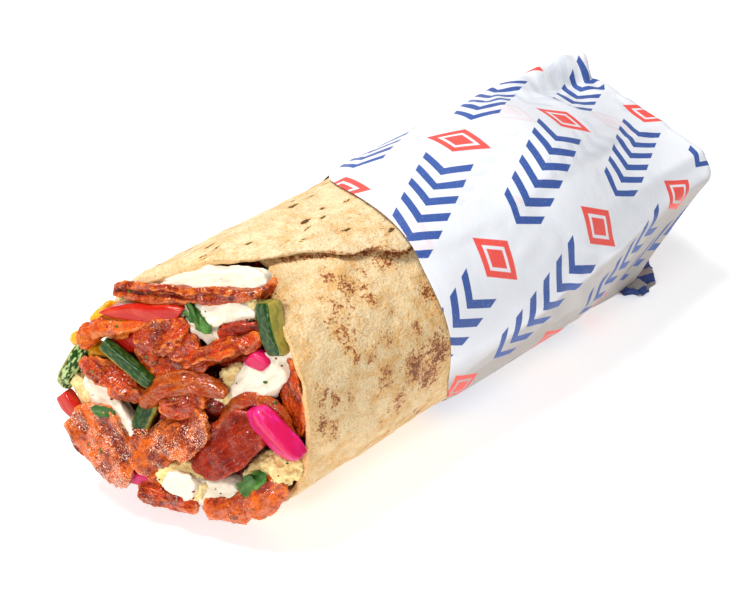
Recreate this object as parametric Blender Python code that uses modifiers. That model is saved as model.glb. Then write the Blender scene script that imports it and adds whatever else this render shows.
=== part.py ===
"""Doner kebab sandwich: a rolled flatbread with its filling showing at the open end, in a paper sleeve.

The wrap lies along +X, on the surface z = 0, with its open end (the mouth) towards -X. The origin is
under the middle of its box. Lengths are in millimetres and turned into metres by MM.
"""
import math

import bmesh
import bpy
from mathutils import Matrix, Vector, noise

MM = 0.001
NAME = "doner_kebab_sandwich"

# Where the near rim of the bread stands in the part's own frame
MOUTH_X = -65.74

# The rolled bread
BREAD_R = 34.0
AXIS_Z = 34.0
BREAD_T = 2.6
BREAD_END_X = 124.0
LAYER_GAP = 0.45
FLAT_GAP = 0.8
SEAM_ANGLE = 87.0
SEAM_DRIFT = 0.88
SEAM_START_X = 13.0
SEAM_END_X = 46.0
SEAM_LOW_X = -20.0
SEAM_WAVE = 0.9
SEAM_WAVE_X = 2.9
OVERLAP_ANGLE = 58.0
BREAD_TURNS = 360.0 + OVERLAP_ANGLE
UNDER_TURN = 312.0
UNDER_RUN = 42.0
EDGE_PRESS = 0.9
EDGE_RUN = 9.0
PUFF = 0.6
PUFF_END_X = 28.0
PUFF_FADE_X = 12.0
PUFF_SIZE_X = 28.0
RIM_CROWDING = 1.35
BREAD_STEPS_ROUND = 38
BREAD_STEPS_ALONG = 9

# How thick the bread is at its rim and at its two edges, as a share, and how fast it thickens from there
RIM_SHARE, RIM_RISE = 0.62, 12.0
OUTER_EDGE_SHARE, INNER_EDGE_SHARE, EDGE_RISE = 0.45, 0.5, 14.0

# The rim of the bread: turn from the seam in degrees, and how far along the wrap the rim stands
BREAD_RIM = (
    (0, 8), (12, -2), (24, -9), (38, -13.5), (60, -14), (100, -13), (170, -8),
    (235, -2.5), (270, -1), (290, 0.8), (318, 3.4), (339, 8), (352, 11), (360, 14), (418, 18),
)

# The paper sleeve
PAPER_T = 0.45
PAPER_GAP = 0.5
PAPER_BULK_X = 98.0
PAPER_END_X = 163.0
PAPER_END_LEAN = 0.5
PAPER_LEAN_HEIGHT = 40.0
PAPER_END_MIDDLE = (155.0, 0.0, 27.0)
FOLD_LAYERS = 2.0
FRONT_WAVE = 0.4
FRONT_WAVES = 7
CRUMPLE_START, CRUMPLE_RUN = 0.35, 0.4
CRUMPLE_RISE, CRUMPLE_WAVE = 0.4, 1.2
CRUMPLE_SIZE_X, CRUMPLE_SIZE = 22.0, 17.0
CRUMPLE_LOW_Z = 8.0
PAPER_STEPS_ROUND = 36
PAPER_STEPS_ALONG = 11
PAPER_END_STEPS = 2
SLEEVE_R = BREAD_R + PAPER_GAP + PAPER_T

# The sleeve's front edge: angle round the wrap, and how far along the wrap the edge stands
PAPER_FRONT = (
    (0, 48.6), (100, 48.8), (115, 51), (138, 60), (200, 60), (300, 58), (345, 49.5), (360, 48.6),
)

# The folded rear end of the sleeve: angle round the wrap, then sideways and up
PAPER_END = (
    (5, -29.5, 37), (28, -25, 44.5), (112, 19, 49.5), (128, 25, 57), (150, 28, 50), (190, 29, 26),
    (238, 17, 0), (302, -18, 0), (348, -26, 27), (365, -29.5, 37),
)

# The mouth is looked at from the front, the near side and above
MOUTH_AZIMUTH = -43.3
MOUTH_ELEVATION = 37.5
MOUTH_CENTRE = (-8.0, 0.0, 34.0)
MOUTH_BULGE = 3.0
MOUTH_RISE_RIGHT = 0.40
MOUTH_RISE_UP = 0.30

# The packed filling behind the pieces; it is held in round the roll's inner edge
CORE_RECESS = 4.5
CORE_RIM_RECESS = 2.0
CORE_END_X = 119.0
CORE_FACE_SHARE = 0.8
CORE_MIDDLE_Z = 31.0
CORE_FRONT_SHARE, CORE_REAR_SHARE = 0.3, 0.85
CORE_HELD_FROM, CORE_HELD_RUN = -64.0, 34.0
CORE_FREE_FROM, CORE_FREE_RUN = 6.0, 14.0
CORE_LUMP, CORE_LUMP_SIZE = 1.6, 9.0
CORE_STEPS = (14, 24)

# Start of the noise that makes the pieces uneven, so that they come out the same each time
NOISE_SEED = 3

# The size of that noise, along a piece and across it
LUMP_LENGTH, LUMP_WIDTH = 5.9, 5.0
TEAR_LENGTH = 4.5
EDGE_APART = 3.0
SEED_STEP = 5.1

# Room between touching pieces and round the bread, and the height that nothing loose goes below
TOUCH_GAP = 0.5
BREAD_GAP = 0.3
TABLE_GAP = 0.6
TABLE_SQUASH = 0.8
TABLE_SOFTNESS = 2.5

# The steps of a plain morsel, a fine one and a small one, round it and along it
PLAIN_STEPS, FINE_STEPS, SMALL_STEPS, TINY_STEPS = (10, 7), (12, 7), (10, 6), (8, 6)
LEAF_STEPS = (7, 4)
LOBE_BASE, LOBE_DEPTH, LOBES = 0.62, 0.38, 4.2

# The pieces of the filling from the front to the back: each gives way to those before it
FRONT_TO_BACK = (
    "parsley_top", "parsley_left", "parsley_bottom", "turnip_small", "turnip_large", "turnip_speck",
    "hummus_speck", "hummus_centre", "hummus_top", "hummus_left", "onion_arch_centre", "cucumber_stick",
    "meat_lumpy_chunk", "meat_long_strip", "cucumber_right", "meat_top_strip", "meat_pepper_side_strip",
    "meat_left_strip", "sauce_left", "meat_centre_slice", "onion_arch_right", "meat_smooth_slice",
    "meat_left_slice", "hummus_curl", "hummus_right", "meat_bottom_right_strip", "cucumber_left",
    "meat_small_chunk", "tomato_long", "tomato_left", "cucumber_centre", "meat_bottom_slice",
    "meat_rim_slice", "meat_dark_strip", "meat_upper_dark_strip", "meat_under_strip", "tomato_upper",
    "pepper_left", "pepper_upper", "turnip_bottom", "sauce_bottom", "sauce_right", "sauce_upper",
    "sauce_top",
)

# Ways to cut one piece clear of another, in the order they are tried
CUT_TRIES = (
    ("EXACT", 0.02 * MM), ("MANIFOLD", 0.02 * MM), ("EXACT", 0.002 * MM), ("MANIFOLD", 0.002 * MM),
)

COLOURS = {
    "bread": ((0.80, 0.58, 0.30), 0.75),
    "paper": ((0.86, 0.87, 0.90), 0.55),
    "core": ((0.42, 0.13, 0.04), 0.55),
    "meat": ((0.52, 0.11, 0.025), 0.38),
    "onion": ((0.58, 0.20, 0.05), 0.30),
    "tomato": ((0.75, 0.08, 0.02), 0.25),
    "pepper": ((0.78, 0.30, 0.03), 0.35),
    "cucumber": ((0.06, 0.20, 0.04), 0.30),
    "turnip": ((0.80, 0.03, 0.25), 0.25),
    "sauce": ((0.85, 0.82, 0.72), 0.35),
    "hummus": ((0.78, 0.58, 0.27), 0.60),
    "parsley": ((0.05, 0.20, 0.03), 0.50),
}


def clear_scene():
    """Take away whatever the file opened with."""
    for thing in list(bpy.data.objects):
        bpy.data.objects.remove(thing, do_unlink=True)


def collection(name):
    """A new collection in the scene."""
    group = bpy.data.collections.new(name)
    bpy.context.scene.collection.children.link(group)
    return group


def finish_of(food):
    """One Principled material for a piece of the named food."""
    colour, roughness = COLOURS[food]
    material = bpy.data.materials.new(food)
    material.use_nodes = True
    shader = material.node_tree.nodes["Principled BSDF"]
    shader.inputs["Base Color"].default_value = (*colour, 1.0)
    shader.inputs["Roughness"].default_value = roughness
    shader.inputs["Metallic"].default_value = 0.0
    return material


def add_object(name, mesh_data, group, food):
    """An object of the named food, its faces shaded smooth up to its edges."""
    thing = bpy.data.objects.new(name, mesh_data)
    group.objects.link(thing)
    mesh_data.materials.append(finish_of(food))
    mesh_data.shade_smooth()
    mesh_data.set_sharp_from_angle(angle=math.radians(40))
    return thing


def smooth(t):
    """0 to 1 with a soft start and stop."""
    t = min(max(t, 0.0), 1.0)
    return t * t * (3.0 - 2.0 * t)


def curve_at(points, place):
    """A smooth curve through (place, value) points, read at one place."""
    places = [p[0] for p in points]
    values = [p[1] for p in points]
    if place <= places[0]:
        return values[0]
    if place >= places[-1]:
        return values[-1]
    k = max(i for i, p in enumerate(places) if p <= place)
    span = places[k + 1] - places[k]
    t = (place - places[k]) / span
    before, after = max(k - 1, 0), min(k + 2, len(points) - 1)
    slope_in = (values[k + 1] - values[before]) / (places[k + 1] - places[before]) * span
    slope_out = (values[after] - values[k]) / (places[after] - places[k]) * span
    rise = values[k + 1] - values[k]
    return (values[k] + slope_in * t + (3 * rise - 2 * slope_in - slope_out) * t ** 2
            + (slope_in + slope_out - 2 * rise) * t ** 3)


def stand(x, y, z):
    """A point of the wrap, in millimetres from its near rim, in the part's frame."""
    return Vector((x + MOUTH_X, y, z)) * MM


def settled(z, floor):
    """Height after the wrap's own weight has pressed it flat on a floor."""
    return max(z, floor)


def end_corner(angle):
    """The sleeve's folded end, read at an angle round the wrap."""
    angle = (angle - 5.0) % 360.0 + 5.0
    for (a0, y0, z0), (a1, y1, z1) in zip(PAPER_END, PAPER_END[1:]):
        if angle <= a1:
            t = (angle - a0) / (a1 - a0)
            return y0 + (y1 - y0) * t, z0 + (z1 - z0) * t
    return PAPER_END[-1][1:]


def wrap_point(angle, x, inset):
    """A point round the wrap at x: a circle that turns into the sleeve's folded, leaning end."""
    a = math.radians(angle)
    radius = SLEEVE_R - inset
    y = -radius * math.cos(a)
    z = settled(AXIS_Z + radius * math.sin(a), inset)
    pinch = smooth((x - PAPER_BULK_X) / (PAPER_END_X - PAPER_BULK_X))
    corner_y, corner_z = end_corner(angle)
    inward = Vector((-corner_y, PAPER_END_MIDDLE[2] - corner_z)).normalized() * inset * FOLD_LAYERS
    y += (corner_y + inward.x - y) * pinch
    z += (max(corner_z + inward.y, inset) - z) * pinch
    x -= PAPER_END_LEAN * max(PAPER_LEAN_HEIGHT - z, 0.0) * pinch
    return x, y, z


def sheet(steps_along, steps_round, place, closed=False):
    """A sheet of quads whose points are place(along, round), both from 0 to 1."""
    mesh = bmesh.new()
    bmesh.ops.create_grid(mesh, x_segments=steps_along, y_segments=steps_round, size=0.5)
    for vert in mesh.verts:
        vert.co = place(vert.co.x + 0.5, vert.co.y + 0.5)
    if closed:
        bmesh.ops.remove_doubles(mesh, verts=mesh.verts, dist=0.01 * MM)
    return mesh


def to_data(mesh, name):
    """Turn a working mesh into a finished one."""
    data = bpy.data.meshes.new(name)
    mesh.to_mesh(data)
    mesh.free()
    return data


def apply_modifiers(thing):
    """Keep the object's evaluated mesh and drop its modifiers."""
    graph = bpy.context.evaluated_depsgraph_get()
    graph.update()
    solid = bpy.data.meshes.new_from_object(thing.evaluated_get(graph))
    thing.modifiers.clear()
    thing.data = solid


def face_outwards(thing):
    """Turn every face of a closed or open shape outwards."""
    mesh = bmesh.new()
    mesh.from_mesh(thing.data)
    bmesh.ops.recalc_face_normals(mesh, faces=mesh.faces)
    mesh.to_mesh(thing.data)
    mesh.free()


def seam_angle(x):
    """Where the bread's outer edge lies round the wrap: it drifts down towards the near side."""
    run = min(max(x, SEAM_LOW_X), SEAM_END_X) - SEAM_START_X
    return SEAM_ANGLE - SEAM_DRIFT * run + SEAM_WAVE * math.sin(x / SEAM_WAVE_X)


def bread_place(along, around):
    """A point of the bread's outer face: it rolls once round and on under its own outer edge."""
    turn = BREAD_TURNS * around
    rim = curve_at(BREAD_RIM, turn)
    x = rim + (BREAD_END_X - rim) * along ** RIM_CROWDING
    angle = seam_angle(x) + turn
    under = smooth((turn - UNDER_TURN) / UNDER_RUN) * (BREAD_T + LAYER_GAP)
    pressed = EDGE_PRESS * (1.0 - smooth(turn / EDGE_RUN))
    bare = 1.0 - smooth((x - PUFF_END_X) / PUFF_FADE_X)
    wave = noise.noise(Vector((x / PUFF_SIZE_X, math.sin(math.radians(angle)), turn / 100.0)))
    puff = bare * PUFF * (1.0 + wave)
    inset = PAPER_T + PAPER_GAP + under + pressed - puff
    x, y, z = wrap_point(angle, x, inset)
    z = settled(z, FLAT_GAP)
    return stand(x, y, z)


def make_bread(group):
    """The flatbread: one sheet rolled up, thinner at its rim and its outer edge."""
    mesh = sheet(BREAD_STEPS_ALONG, BREAD_STEPS_ROUND, bread_place)
    data = to_data(mesh, "bread")
    thing = add_object("flatbread", data, group, "bread")
    thin = thing.vertex_groups.new(name="thickness")
    columns = BREAD_STEPS_ALONG + 1
    for vert in data.vertices:
        along = (vert.index % columns) / BREAD_STEPS_ALONG
        around = (vert.index // columns) / BREAD_STEPS_ROUND
        edge = min(1.0, RIM_SHARE + RIM_RISE * along, OUTER_EDGE_SHARE + EDGE_RISE * around,
                   INNER_EDGE_SHARE + EDGE_RISE * (1.0 - around))
        thin.add([vert.index], edge, "REPLACE")
    wall = thing.modifiers.new("thickness", "SOLIDIFY")
    wall.thickness = BREAD_T * MM
    wall.offset = -1.0
    wall.vertex_group = thin.name
    apply_modifiers(thing)
    face_outwards(thing)
    return thing


def sleeve_place(along, around):
    """A point of the sleeve's outer face; the last two steps run inwards over the folded end."""
    angle = 360.0 * around
    shut = 1.0 - PAPER_END_STEPS / PAPER_STEPS_ALONG
    walls = min(along / shut, 1.0)
    closing = max(along - shut, 0.0) / (1.0 - shut)
    front = curve_at(PAPER_FRONT, angle) + FRONT_WAVE * math.sin(math.radians(angle * FRONT_WAVES))
    x = front + (PAPER_END_X - front) * walls
    x, y, z = wrap_point(angle, x, 0.0)
    if z > CRUMPLE_LOW_Z:
        crumple = smooth((walls - CRUMPLE_START) / CRUMPLE_RUN) * math.sin(math.radians(angle)) ** 2
        wave = noise.noise(Vector((x / CRUMPLE_SIZE_X, y / CRUMPLE_SIZE, z / CRUMPLE_SIZE)))
        z += (CRUMPLE_RISE + CRUMPLE_WAVE * wave) * crumple
    point = Vector((x, y, z)).lerp(Vector(PAPER_END_MIDDLE), closing)
    return stand(*point)


def make_sleeve(group):
    """The paper sleeve: a thin wall, open at the front, folded shut at the rear."""
    mesh = sheet(PAPER_STEPS_ALONG, PAPER_STEPS_ROUND, sleeve_place, closed=True)
    thing = add_object("paper_sleeve", to_data(mesh, "paper"), group, "paper")
    face_outwards(thing)
    wall = thing.modifiers.new("thickness", "SOLIDIFY")
    wall.thickness = PAPER_T * MM
    wall.offset = -1.0
    apply_modifiers(thing)
    return thing


def mouth_axes():
    """Right, up and out, as the mouth is looked at."""
    azimuth = math.radians(MOUTH_AZIMUTH)
    elevation = math.radians(MOUTH_ELEVATION)
    out = Vector((math.sin(azimuth) * math.cos(elevation),
                  -math.cos(azimuth) * math.cos(elevation), math.sin(elevation)))
    right = Vector((0.0, 0.0, 1.0)).cross(out).normalized()
    return right, out.cross(right), out


RIGHT, UP, OUT = mouth_axes()


def mouth_point(right, up, lift):
    """A point of the filling's face, raised by lift towards whoever looks at it."""
    depth = MOUTH_BULGE + MOUTH_RISE_RIGHT * right + MOUTH_RISE_UP * up + lift
    return Vector(MOUTH_CENTRE) + RIGHT * right + UP * up + OUT * depth


def mouth_turn(turn, tip, dip):
    """Length, width and thickness directions of a piece that lies on the filling's face."""
    c, s = math.cos(math.radians(turn)), math.sin(math.radians(turn))
    slope = MOUTH_RISE_RIGHT * c + MOUTH_RISE_UP * s - math.tan(math.radians(dip))
    length = (RIGHT * c + UP * s + OUT * slope).normalized()
    facing = OUT - RIGHT * MOUTH_RISE_RIGHT - UP * MOUTH_RISE_UP
    facing = (facing - length * facing.dot(length)).normalized()
    facing = Matrix.Rotation(math.radians(tip), 3, length) @ facing
    width = facing.cross(length)
    return length, width, facing


def rounded(value, power):
    """Push a sphere's coordinate outwards, so that the ball turns into a soft block."""
    return math.copysign(abs(value) ** (2.0 / power), value)


def piece(group, name, food, at, turn, size, tip=0.0, dip=0.0, power=2.6, taper=0.0, arch=0.0,
          cup=0.0, curve=0.0, ragged=0.0, lumps=0.0, seed=1, steps=PLAIN_STEPS):
    """A morsel of food: a ball shaped into a soft block, then bent, and laid on the filling's face.

    size is length, width and thickness. arch lifts its middle and cup its long middle line, curve
    bends it sideways, ragged tears its long edges, and lumps makes it uneven all over.
    """
    length, width, thick = size
    axis_x, axis_y, axis_z = mouth_turn(turn, tip, dip)
    centre = mouth_point(*at)
    mesh = bmesh.new()
    bmesh.ops.create_uvsphere(mesh, u_segments=steps[0], v_segments=steps[1], radius=1.0)
    for vert in mesh.verts:
        along = rounded(vert.co.z, power)
        across = rounded(vert.co.x, power)
        up = rounded(vert.co.y, power)
        span = 1.0 - taper * along
        edge = math.copysign(EDGE_APART, across)
        tear = ragged * noise.noise(Vector((along * length / TEAR_LENGTH, edge, seed * SEED_STEP)))
        lean = math.atan(-4.0 * curve * along / length)
        side = across * (width / 2 * span + tear)
        x = along * length / 2 - side * math.sin(lean)
        y = side * math.cos(lean) + curve * (0.5 - along ** 2)
        z = up * thick / 2 * (0.6 + 0.4 * span) + arch * (0.5 - along ** 2) + cup * (0.5 - across ** 2)
        lump_at = Vector((x / LUMP_LENGTH, y / LUMP_WIDTH, z / LUMP_WIDTH + seed * SEED_STEP))
        point = Vector((x, y, z)) + noise.noise_vector(lump_at) * lumps
        point = centre + axis_x * point.x + axis_y * point.y + axis_z * point.z
        low = TABLE_GAP + TABLE_SQUASH
        if point.z < low:
            point.z = TABLE_GAP + TABLE_SQUASH * math.exp((point.z - low) / TABLE_SOFTNESS)
        vert.co = stand(*point)
    thing = add_object(name, to_data(mesh, name), group, food)
    face_outwards(thing)
    return thing


def leaf(group, name, at, turn, size, seed, tip=0.0, dip=0.0):
    """A piece of parsley leaf: a thin wavy sheet with a lobed outline."""
    length, width, thick = size
    axis_x, axis_y, axis_z = mouth_turn(turn, tip, dip)
    centre = mouth_point(*at)
    mesh = bmesh.new()
    bmesh.ops.create_grid(mesh, x_segments=LEAF_STEPS[0], y_segments=LEAF_STEPS[1], size=1.0)
    for vert in mesh.verts:
        along, across = vert.co.x, vert.co.y
        lobes = LOBE_BASE + LOBE_DEPTH * (abs(math.cos(along * LOBES + seed)) - max(along, 0.0) ** 2)
        x = along * length / 2
        y = across * width / 2 * lobes
        z = 0.5 * math.sin(along * 3.0 + across * 1.7 + seed) + 0.35 * across ** 2
        vert.co = stand(*(centre + axis_x * x + axis_y * y + axis_z * z))
    bmesh.ops.triangulate(mesh, faces=mesh.faces)
    thing = add_object(name, to_data(mesh, name), group, "parsley")
    wall = thing.modifiers.new("thickness", "SOLIDIFY")
    wall.thickness = thick * MM
    apply_modifiers(thing)
    face_outwards(thing)
    return thing


def face_x(y, z):
    """Where the filling's face stands along the wrap."""
    facing = OUT - RIGHT * MOUTH_RISE_RIGHT - UP * MOUTH_RISE_UP
    rest = MOUTH_BULGE - facing.y * (y - MOUTH_CENTRE[1]) - facing.z * (z - MOUTH_CENTRE[2])
    return MOUTH_CENTRE[0] + rest / facing.x


def core_place(along, around):
    """A point of the packed filling: front face, then the wall inside the bread, then its rear."""
    angle = 360.0 * around
    fill = min(along / CORE_FRONT_SHARE, 1.0, max((1.0 - along) / (1.0 - CORE_REAR_SHARE), 0.0))
    walls = min(max((along - CORE_FRONT_SHARE) / (CORE_REAR_SHARE - CORE_FRONT_SHARE), 0.0), 1.0)
    _, y, z = wrap_point(angle, 0.0, 0.0)
    rim = face_x(y * CORE_FACE_SHARE, AXIS_Z + (z - AXIS_Z) * CORE_FACE_SHARE)
    mouth = rim + CORE_RECESS + CORE_RIM_RECESS
    x = mouth + (CORE_END_X - mouth) * walls
    past = (angle - seam_angle(x) - CORE_HELD_FROM) % 360.0
    free_from = CORE_FREE_FROM - CORE_HELD_FROM + OVERLAP_ANGLE
    under = smooth(past / CORE_HELD_RUN) * (1.0 - smooth((past - free_from) / CORE_FREE_RUN))
    inset = PAPER_T + PAPER_GAP + (BREAD_T + LAYER_GAP) * (1.0 + under) + LAYER_GAP
    x, y, z = wrap_point(angle, x, inset)
    z = settled(z, FLAT_GAP + BREAD_T + LAYER_GAP)
    x += (CORE_END_X - x) * (1.0 - fill)
    y *= fill
    z = CORE_MIDDLE_Z + (z - CORE_MIDDLE_Z) * fill
    if along < CORE_FRONT_SHARE:
        face = face_x(y, z) + CORE_RECESS
        lump = CORE_LUMP * noise.noise(Vector((y / CORE_LUMP_SIZE, z / CORE_LUMP_SIZE, NOISE_SEED)))
        x = face + lump + (mouth - face) * fill ** 4
    return stand(x, y, z)


def make_core(group):
    """The packed filling, which runs through the wrap behind the pieces that show."""
    mesh = sheet(*CORE_STEPS, core_place, closed=True)
    thing = add_object("packed_filling", to_data(mesh, "core"), group, "core")
    face_outwards(thing)
    return thing


def make_meat(group):
    """Slices and strips of marinated meat, the front ones first."""
    def meat(name, at, turn, size, **shape):
        return piece(group, "meat_" + name, "meat", at, turn, size, **shape)

    return [
        piece(group, "onion_arch_centre", "onion", (-4, 1, 4.5), 10, (26, 6, 3.6), tip=-18, arch=2.0,
              curve=4.5, taper=0.1, lumps=0.5, seed=7),
        meat("long_strip", (2, 10.5, 2.6), 16, (34, 7, 6), tip=-12, curve=-1.0, arch=1.0, ragged=1.0,
             lumps=1.1, seed=4),
        meat("lumpy_chunk", (-7.5, 14.5, 2.6), -4, (20, 10, 8), tip=-14, ragged=1.6, lumps=2.0, seed=3),
        meat("top_strip", (-1.6, 26.4, 1.6), -1, (45, 4.2, 9), tip=14, curve=-1.4, ragged=0.8,
             lumps=0.9, seed=1, power=3.2),
        meat("pepper_side_strip", (-20.4, 17.0, 2.6), 12, (23, 6.4, 5), tip=-20, taper=-0.2, ragged=1.0,
             lumps=1.0, seed=6),
        meat("left_strip", (-22.5, 4, 1.6), -29, (19, 7.4, 5.5), tip=-14, arch=1.5, ragged=1.2,
             lumps=1.1, seed=5),
        meat("centre_slice", (-9.4, -12.4, 3.0), 36, (25, 12.5, 4.4), tip=-10, cup=1.5, taper=-0.12,
             ragged=1.6, lumps=1.1, seed=10, power=3.0, steps=FINE_STEPS),
        meat("smooth_slice", (8.4, -12.2, 3.0), 36, (23.5, 13.5, 4.8), tip=-16, cup=2.0, taper=0.06,
             ragged=0.8, lumps=0.7, seed=11, power=3.0, steps=FINE_STEPS),
        meat("left_slice", (-25.2, -13.2, 2.4), -60, (23.5, 17.5, 4.0), tip=14, cup=1.2, taper=0.16,
             ragged=2.0, lumps=1.2, seed=9, power=2.8, steps=FINE_STEPS),
        meat("small_chunk", (-3.6, -1.8, 2.4), 6, (14, 8, 7), ragged=0.8, lumps=1.4, seed=8,
             steps=SMALL_STEPS),
        meat("dark_strip", (-1, -4.4, -0.6), 18, (22, 7.5, 6), ragged=1.0, lumps=1.2, seed=16,
             steps=SMALL_STEPS),
        piece(group, "onion_arch_right", "onion", (15.4, -4.6, 2.2), -4, (21, 3.8, 4.5), curve=8.5,
              arch=1.0, lumps=0.4, seed=12),
        meat("bottom_right_strip", (11.8, -25.8, 1.2), 29, (27, 7.6, 5.6), arch=1.5, curve=-2.2,
             ragged=1.2, lumps=1.1, seed=15, power=3.0),
        meat("bottom_slice", (-8.6, -26.2, 0.6), -10, (20, 8.0, 5.5), ragged=1.3, lumps=1.2, seed=14),
        meat("rim_slice", (25.0, 0.2, 0.4), -88, (22, 9, 6.5), tip=30, curve=-1.5, ragged=0.8,
             lumps=0.8, seed=13),
        meat("upper_dark_strip", (11.6, 17.2, 0.0), 4, (13, 6.4, 6), ragged=0.8, lumps=0.9, seed=2,
             steps=SMALL_STEPS),
        meat("under_strip", (11.0, 10.4, -1.8), 12, (14, 6, 6), ragged=0.8, lumps=0.8, seed=17,
             steps=TINY_STEPS),
    ]


def make_vegetables(group):
    """Tomato, pepper, cucumber and pink pickled turnip."""
    def veg(name, food, at, turn, size, **shape):
        return piece(group, name, food, at, turn, size, **shape)

    return [
        veg("turnip_large", "turnip", (20.2, -8.4, 3.6), -47, (17.5, 7.4, 7), power=3.4, taper=-0.12,
            lumps=0.5, seed=21, tip=-8, steps=FINE_STEPS),
        veg("turnip_small", "turnip", (16.2, 9.6, 1.8), -34, (6.6, 5.4, 5), power=3.4, lumps=0.4,
            seed=22, steps=SMALL_STEPS),
        veg("turnip_speck", "turnip", (-19.6, 3.6, 2.6), 23, (4.2, 3.0, 3.5), seed=23, steps=TINY_STEPS),
        veg("turnip_bottom", "turnip", (-16.4, -21.6, -0.4), -8, (8.5, 5.2, 5), power=3.4, lumps=0.4,
            seed=24, steps=SMALL_STEPS),
        veg("cucumber_stick", "cucumber", (-18.2, 8.2, 4.0), -39, (18, 4.4, 5.0), power=4.5, tip=8,
            lumps=0.3, seed=31, steps=FINE_STEPS),
        veg("cucumber_right", "cucumber", (20.0, 17.6, 2.6), -76, (15.5, 8.0, 6.5), power=4.5, tip=4,
            lumps=0.3, seed=32, steps=FINE_STEPS),
        veg("cucumber_left", "cucumber", (-33.2, 7.4, 0.4), 54, (14.5, 4.8, 7), power=3.6, tip=-10,
            curve=1.2, lumps=0.4, seed=33),
        veg("cucumber_centre", "cucumber", (-14.4, -5.6, 0.2), 60, (11, 6.2, 5.5), power=4.0,
            lumps=0.3, seed=34),
        veg("tomato_long", "tomato", (-13.8, 21.2, 1.6), -3, (22, 6.4, 6.6), power=3.6, tip=14,
            taper=-0.3, curve=0.8, lumps=0.3, seed=41),
        veg("tomato_upper", "tomato", (-17.4, 13.0, 0.4), 14, (12, 6.2, 6), power=2.3, lumps=0.4,
            seed=42, steps=SMALL_STEPS),
        veg("tomato_left", "tomato", (-33.6, -4.2, 0.8), -52, (11, 5.2, 5.6), power=3.6, taper=0.2,
            lumps=0.3, seed=44),
        veg("pepper_left", "pepper", (-27.6, 11.4, -0.6), -40, (14, 5.0, 6), lumps=0.8, seed=45,
            steps=SMALL_STEPS),
        veg("pepper_upper", "pepper", (-24.4, 20.4, -0.4), 40, (8, 5.6, 6), lumps=0.6, seed=46,
            steps=TINY_STEPS),
    ]


def make_sauce(group):
    """White sauce and hummus between the pieces."""
    def soft(name, food, at, turn, size, **shape):
        shape.setdefault("steps", SMALL_STEPS)
        return piece(group, name, food, at, turn, size, power=2.4, **shape)

    return [
        soft("sauce_left", "sauce", (-23.4, -2.6, 1.4), -52, (18, 8, 6), lumps=1.6, seed=54),
        soft("hummus_curl", "hummus", (-4.4, -20.6, 2.6), -34, (13.5, 8.4, 6), lumps=2.2, seed=64),
        soft("hummus_right", "hummus", (20.4, -17.6, 1.4), 20, (17.5, 8.4, 7), lumps=1.7, seed=65),
        soft("hummus_left", "hummus", (-30.4, 1.8, 0.8), -66, (9, 5, 5), lumps=1.4, seed=63),
        soft("hummus_centre", "hummus", (10.4, 5.0, 1.2), 6, (8.5, 5.6, 5), lumps=1.5, seed=62),
        soft("hummus_speck", "hummus", (8.6, 0.6, 0.8), 20, (5, 4.6, 4), lumps=0.8, seed=66,
             steps=TINY_STEPS),
        soft("hummus_top", "hummus", (15.2, 22.4, 0.4), 30, (5.5, 5, 5), lumps=1.0, seed=61,
             steps=TINY_STEPS),
        soft("sauce_bottom", "sauce", (3.4, -24.2, 0.2), 0, (20, 9, 7), lumps=1.1, seed=55),
        soft("sauce_right", "sauce", (17.8, 5.8, 0.2), 30, (23, 12, 8.5), lumps=1.3, seed=53),
        soft("sauce_upper", "sauce", (4.6, 19.4, -0.6), 2, (22, 9, 7), lumps=1.4, seed=52),
        soft("sauce_top", "sauce", (4.0, 28.4, -4.0), 4, (30, 8.6, 9), lumps=0.8, seed=51),
    ]


def make_parsley(group):
    """Loose leaves of parsley on the filling."""
    return [
        leaf(group, "parsley_top", (0.4, 19.8, 4.6), -48, (7.4, 5.4, 0.5), seed=1),
        leaf(group, "parsley_left", (-24.4, -4.6, 5.4), -4, (5.6, 3.6, 0.5), seed=2),
        leaf(group, "parsley_bottom", (13.6, -21.8, 4.8), 42, (8.0, 5.0, 0.5), seed=3),
    ]



def bounds(thing):
    """The lowest and highest corner of a piece."""
    lows = [min(v.co[i] for v in thing.data.vertices) for i in range(3)]
    highs = [max(v.co[i] for v in thing.data.vertices) for i in range(3)]
    return lows, highs


def boxes_meet(one, other):
    """Whether two boxes overlap."""
    (low_a, high_a), (low_b, high_b) = one, other
    return all(low_a[i] < high_b[i] and low_b[i] < high_a[i] for i in range(3))


def swollen(thing, group, room):
    """A copy of a piece grown by room on all sides, to cut its neighbours with."""
    copy = bpy.data.objects.new(thing.name + "_room", thing.data.copy())
    group.objects.link(copy)
    copy.hide_render = True
    copy.display_type = "WIRE"
    copy.data.update()
    normals = [v.normal.copy() for v in copy.data.vertices]
    for vert, normal in zip(copy.data.vertices, normals):
        vert.co += normal * room
    if thing.name.startswith("parsley"):
        hull = bmesh.new()
        hull.from_mesh(copy.data)
        shell = bmesh.ops.convex_hull(hull, input=hull.verts)
        inner = [part for part in shell["geom_interior"] if isinstance(part, bmesh.types.BMVert)]
        bmesh.ops.delete(hull, geom=inner, context="VERTS")
        outer = {part for part in shell["geom"] if isinstance(part, bmesh.types.BMFace)}
        bmesh.ops.delete(hull, geom=[f for f in hull.faces if f not in outer], context="FACES")
        hull.to_mesh(copy.data)
        hull.free()
    return copy


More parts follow.
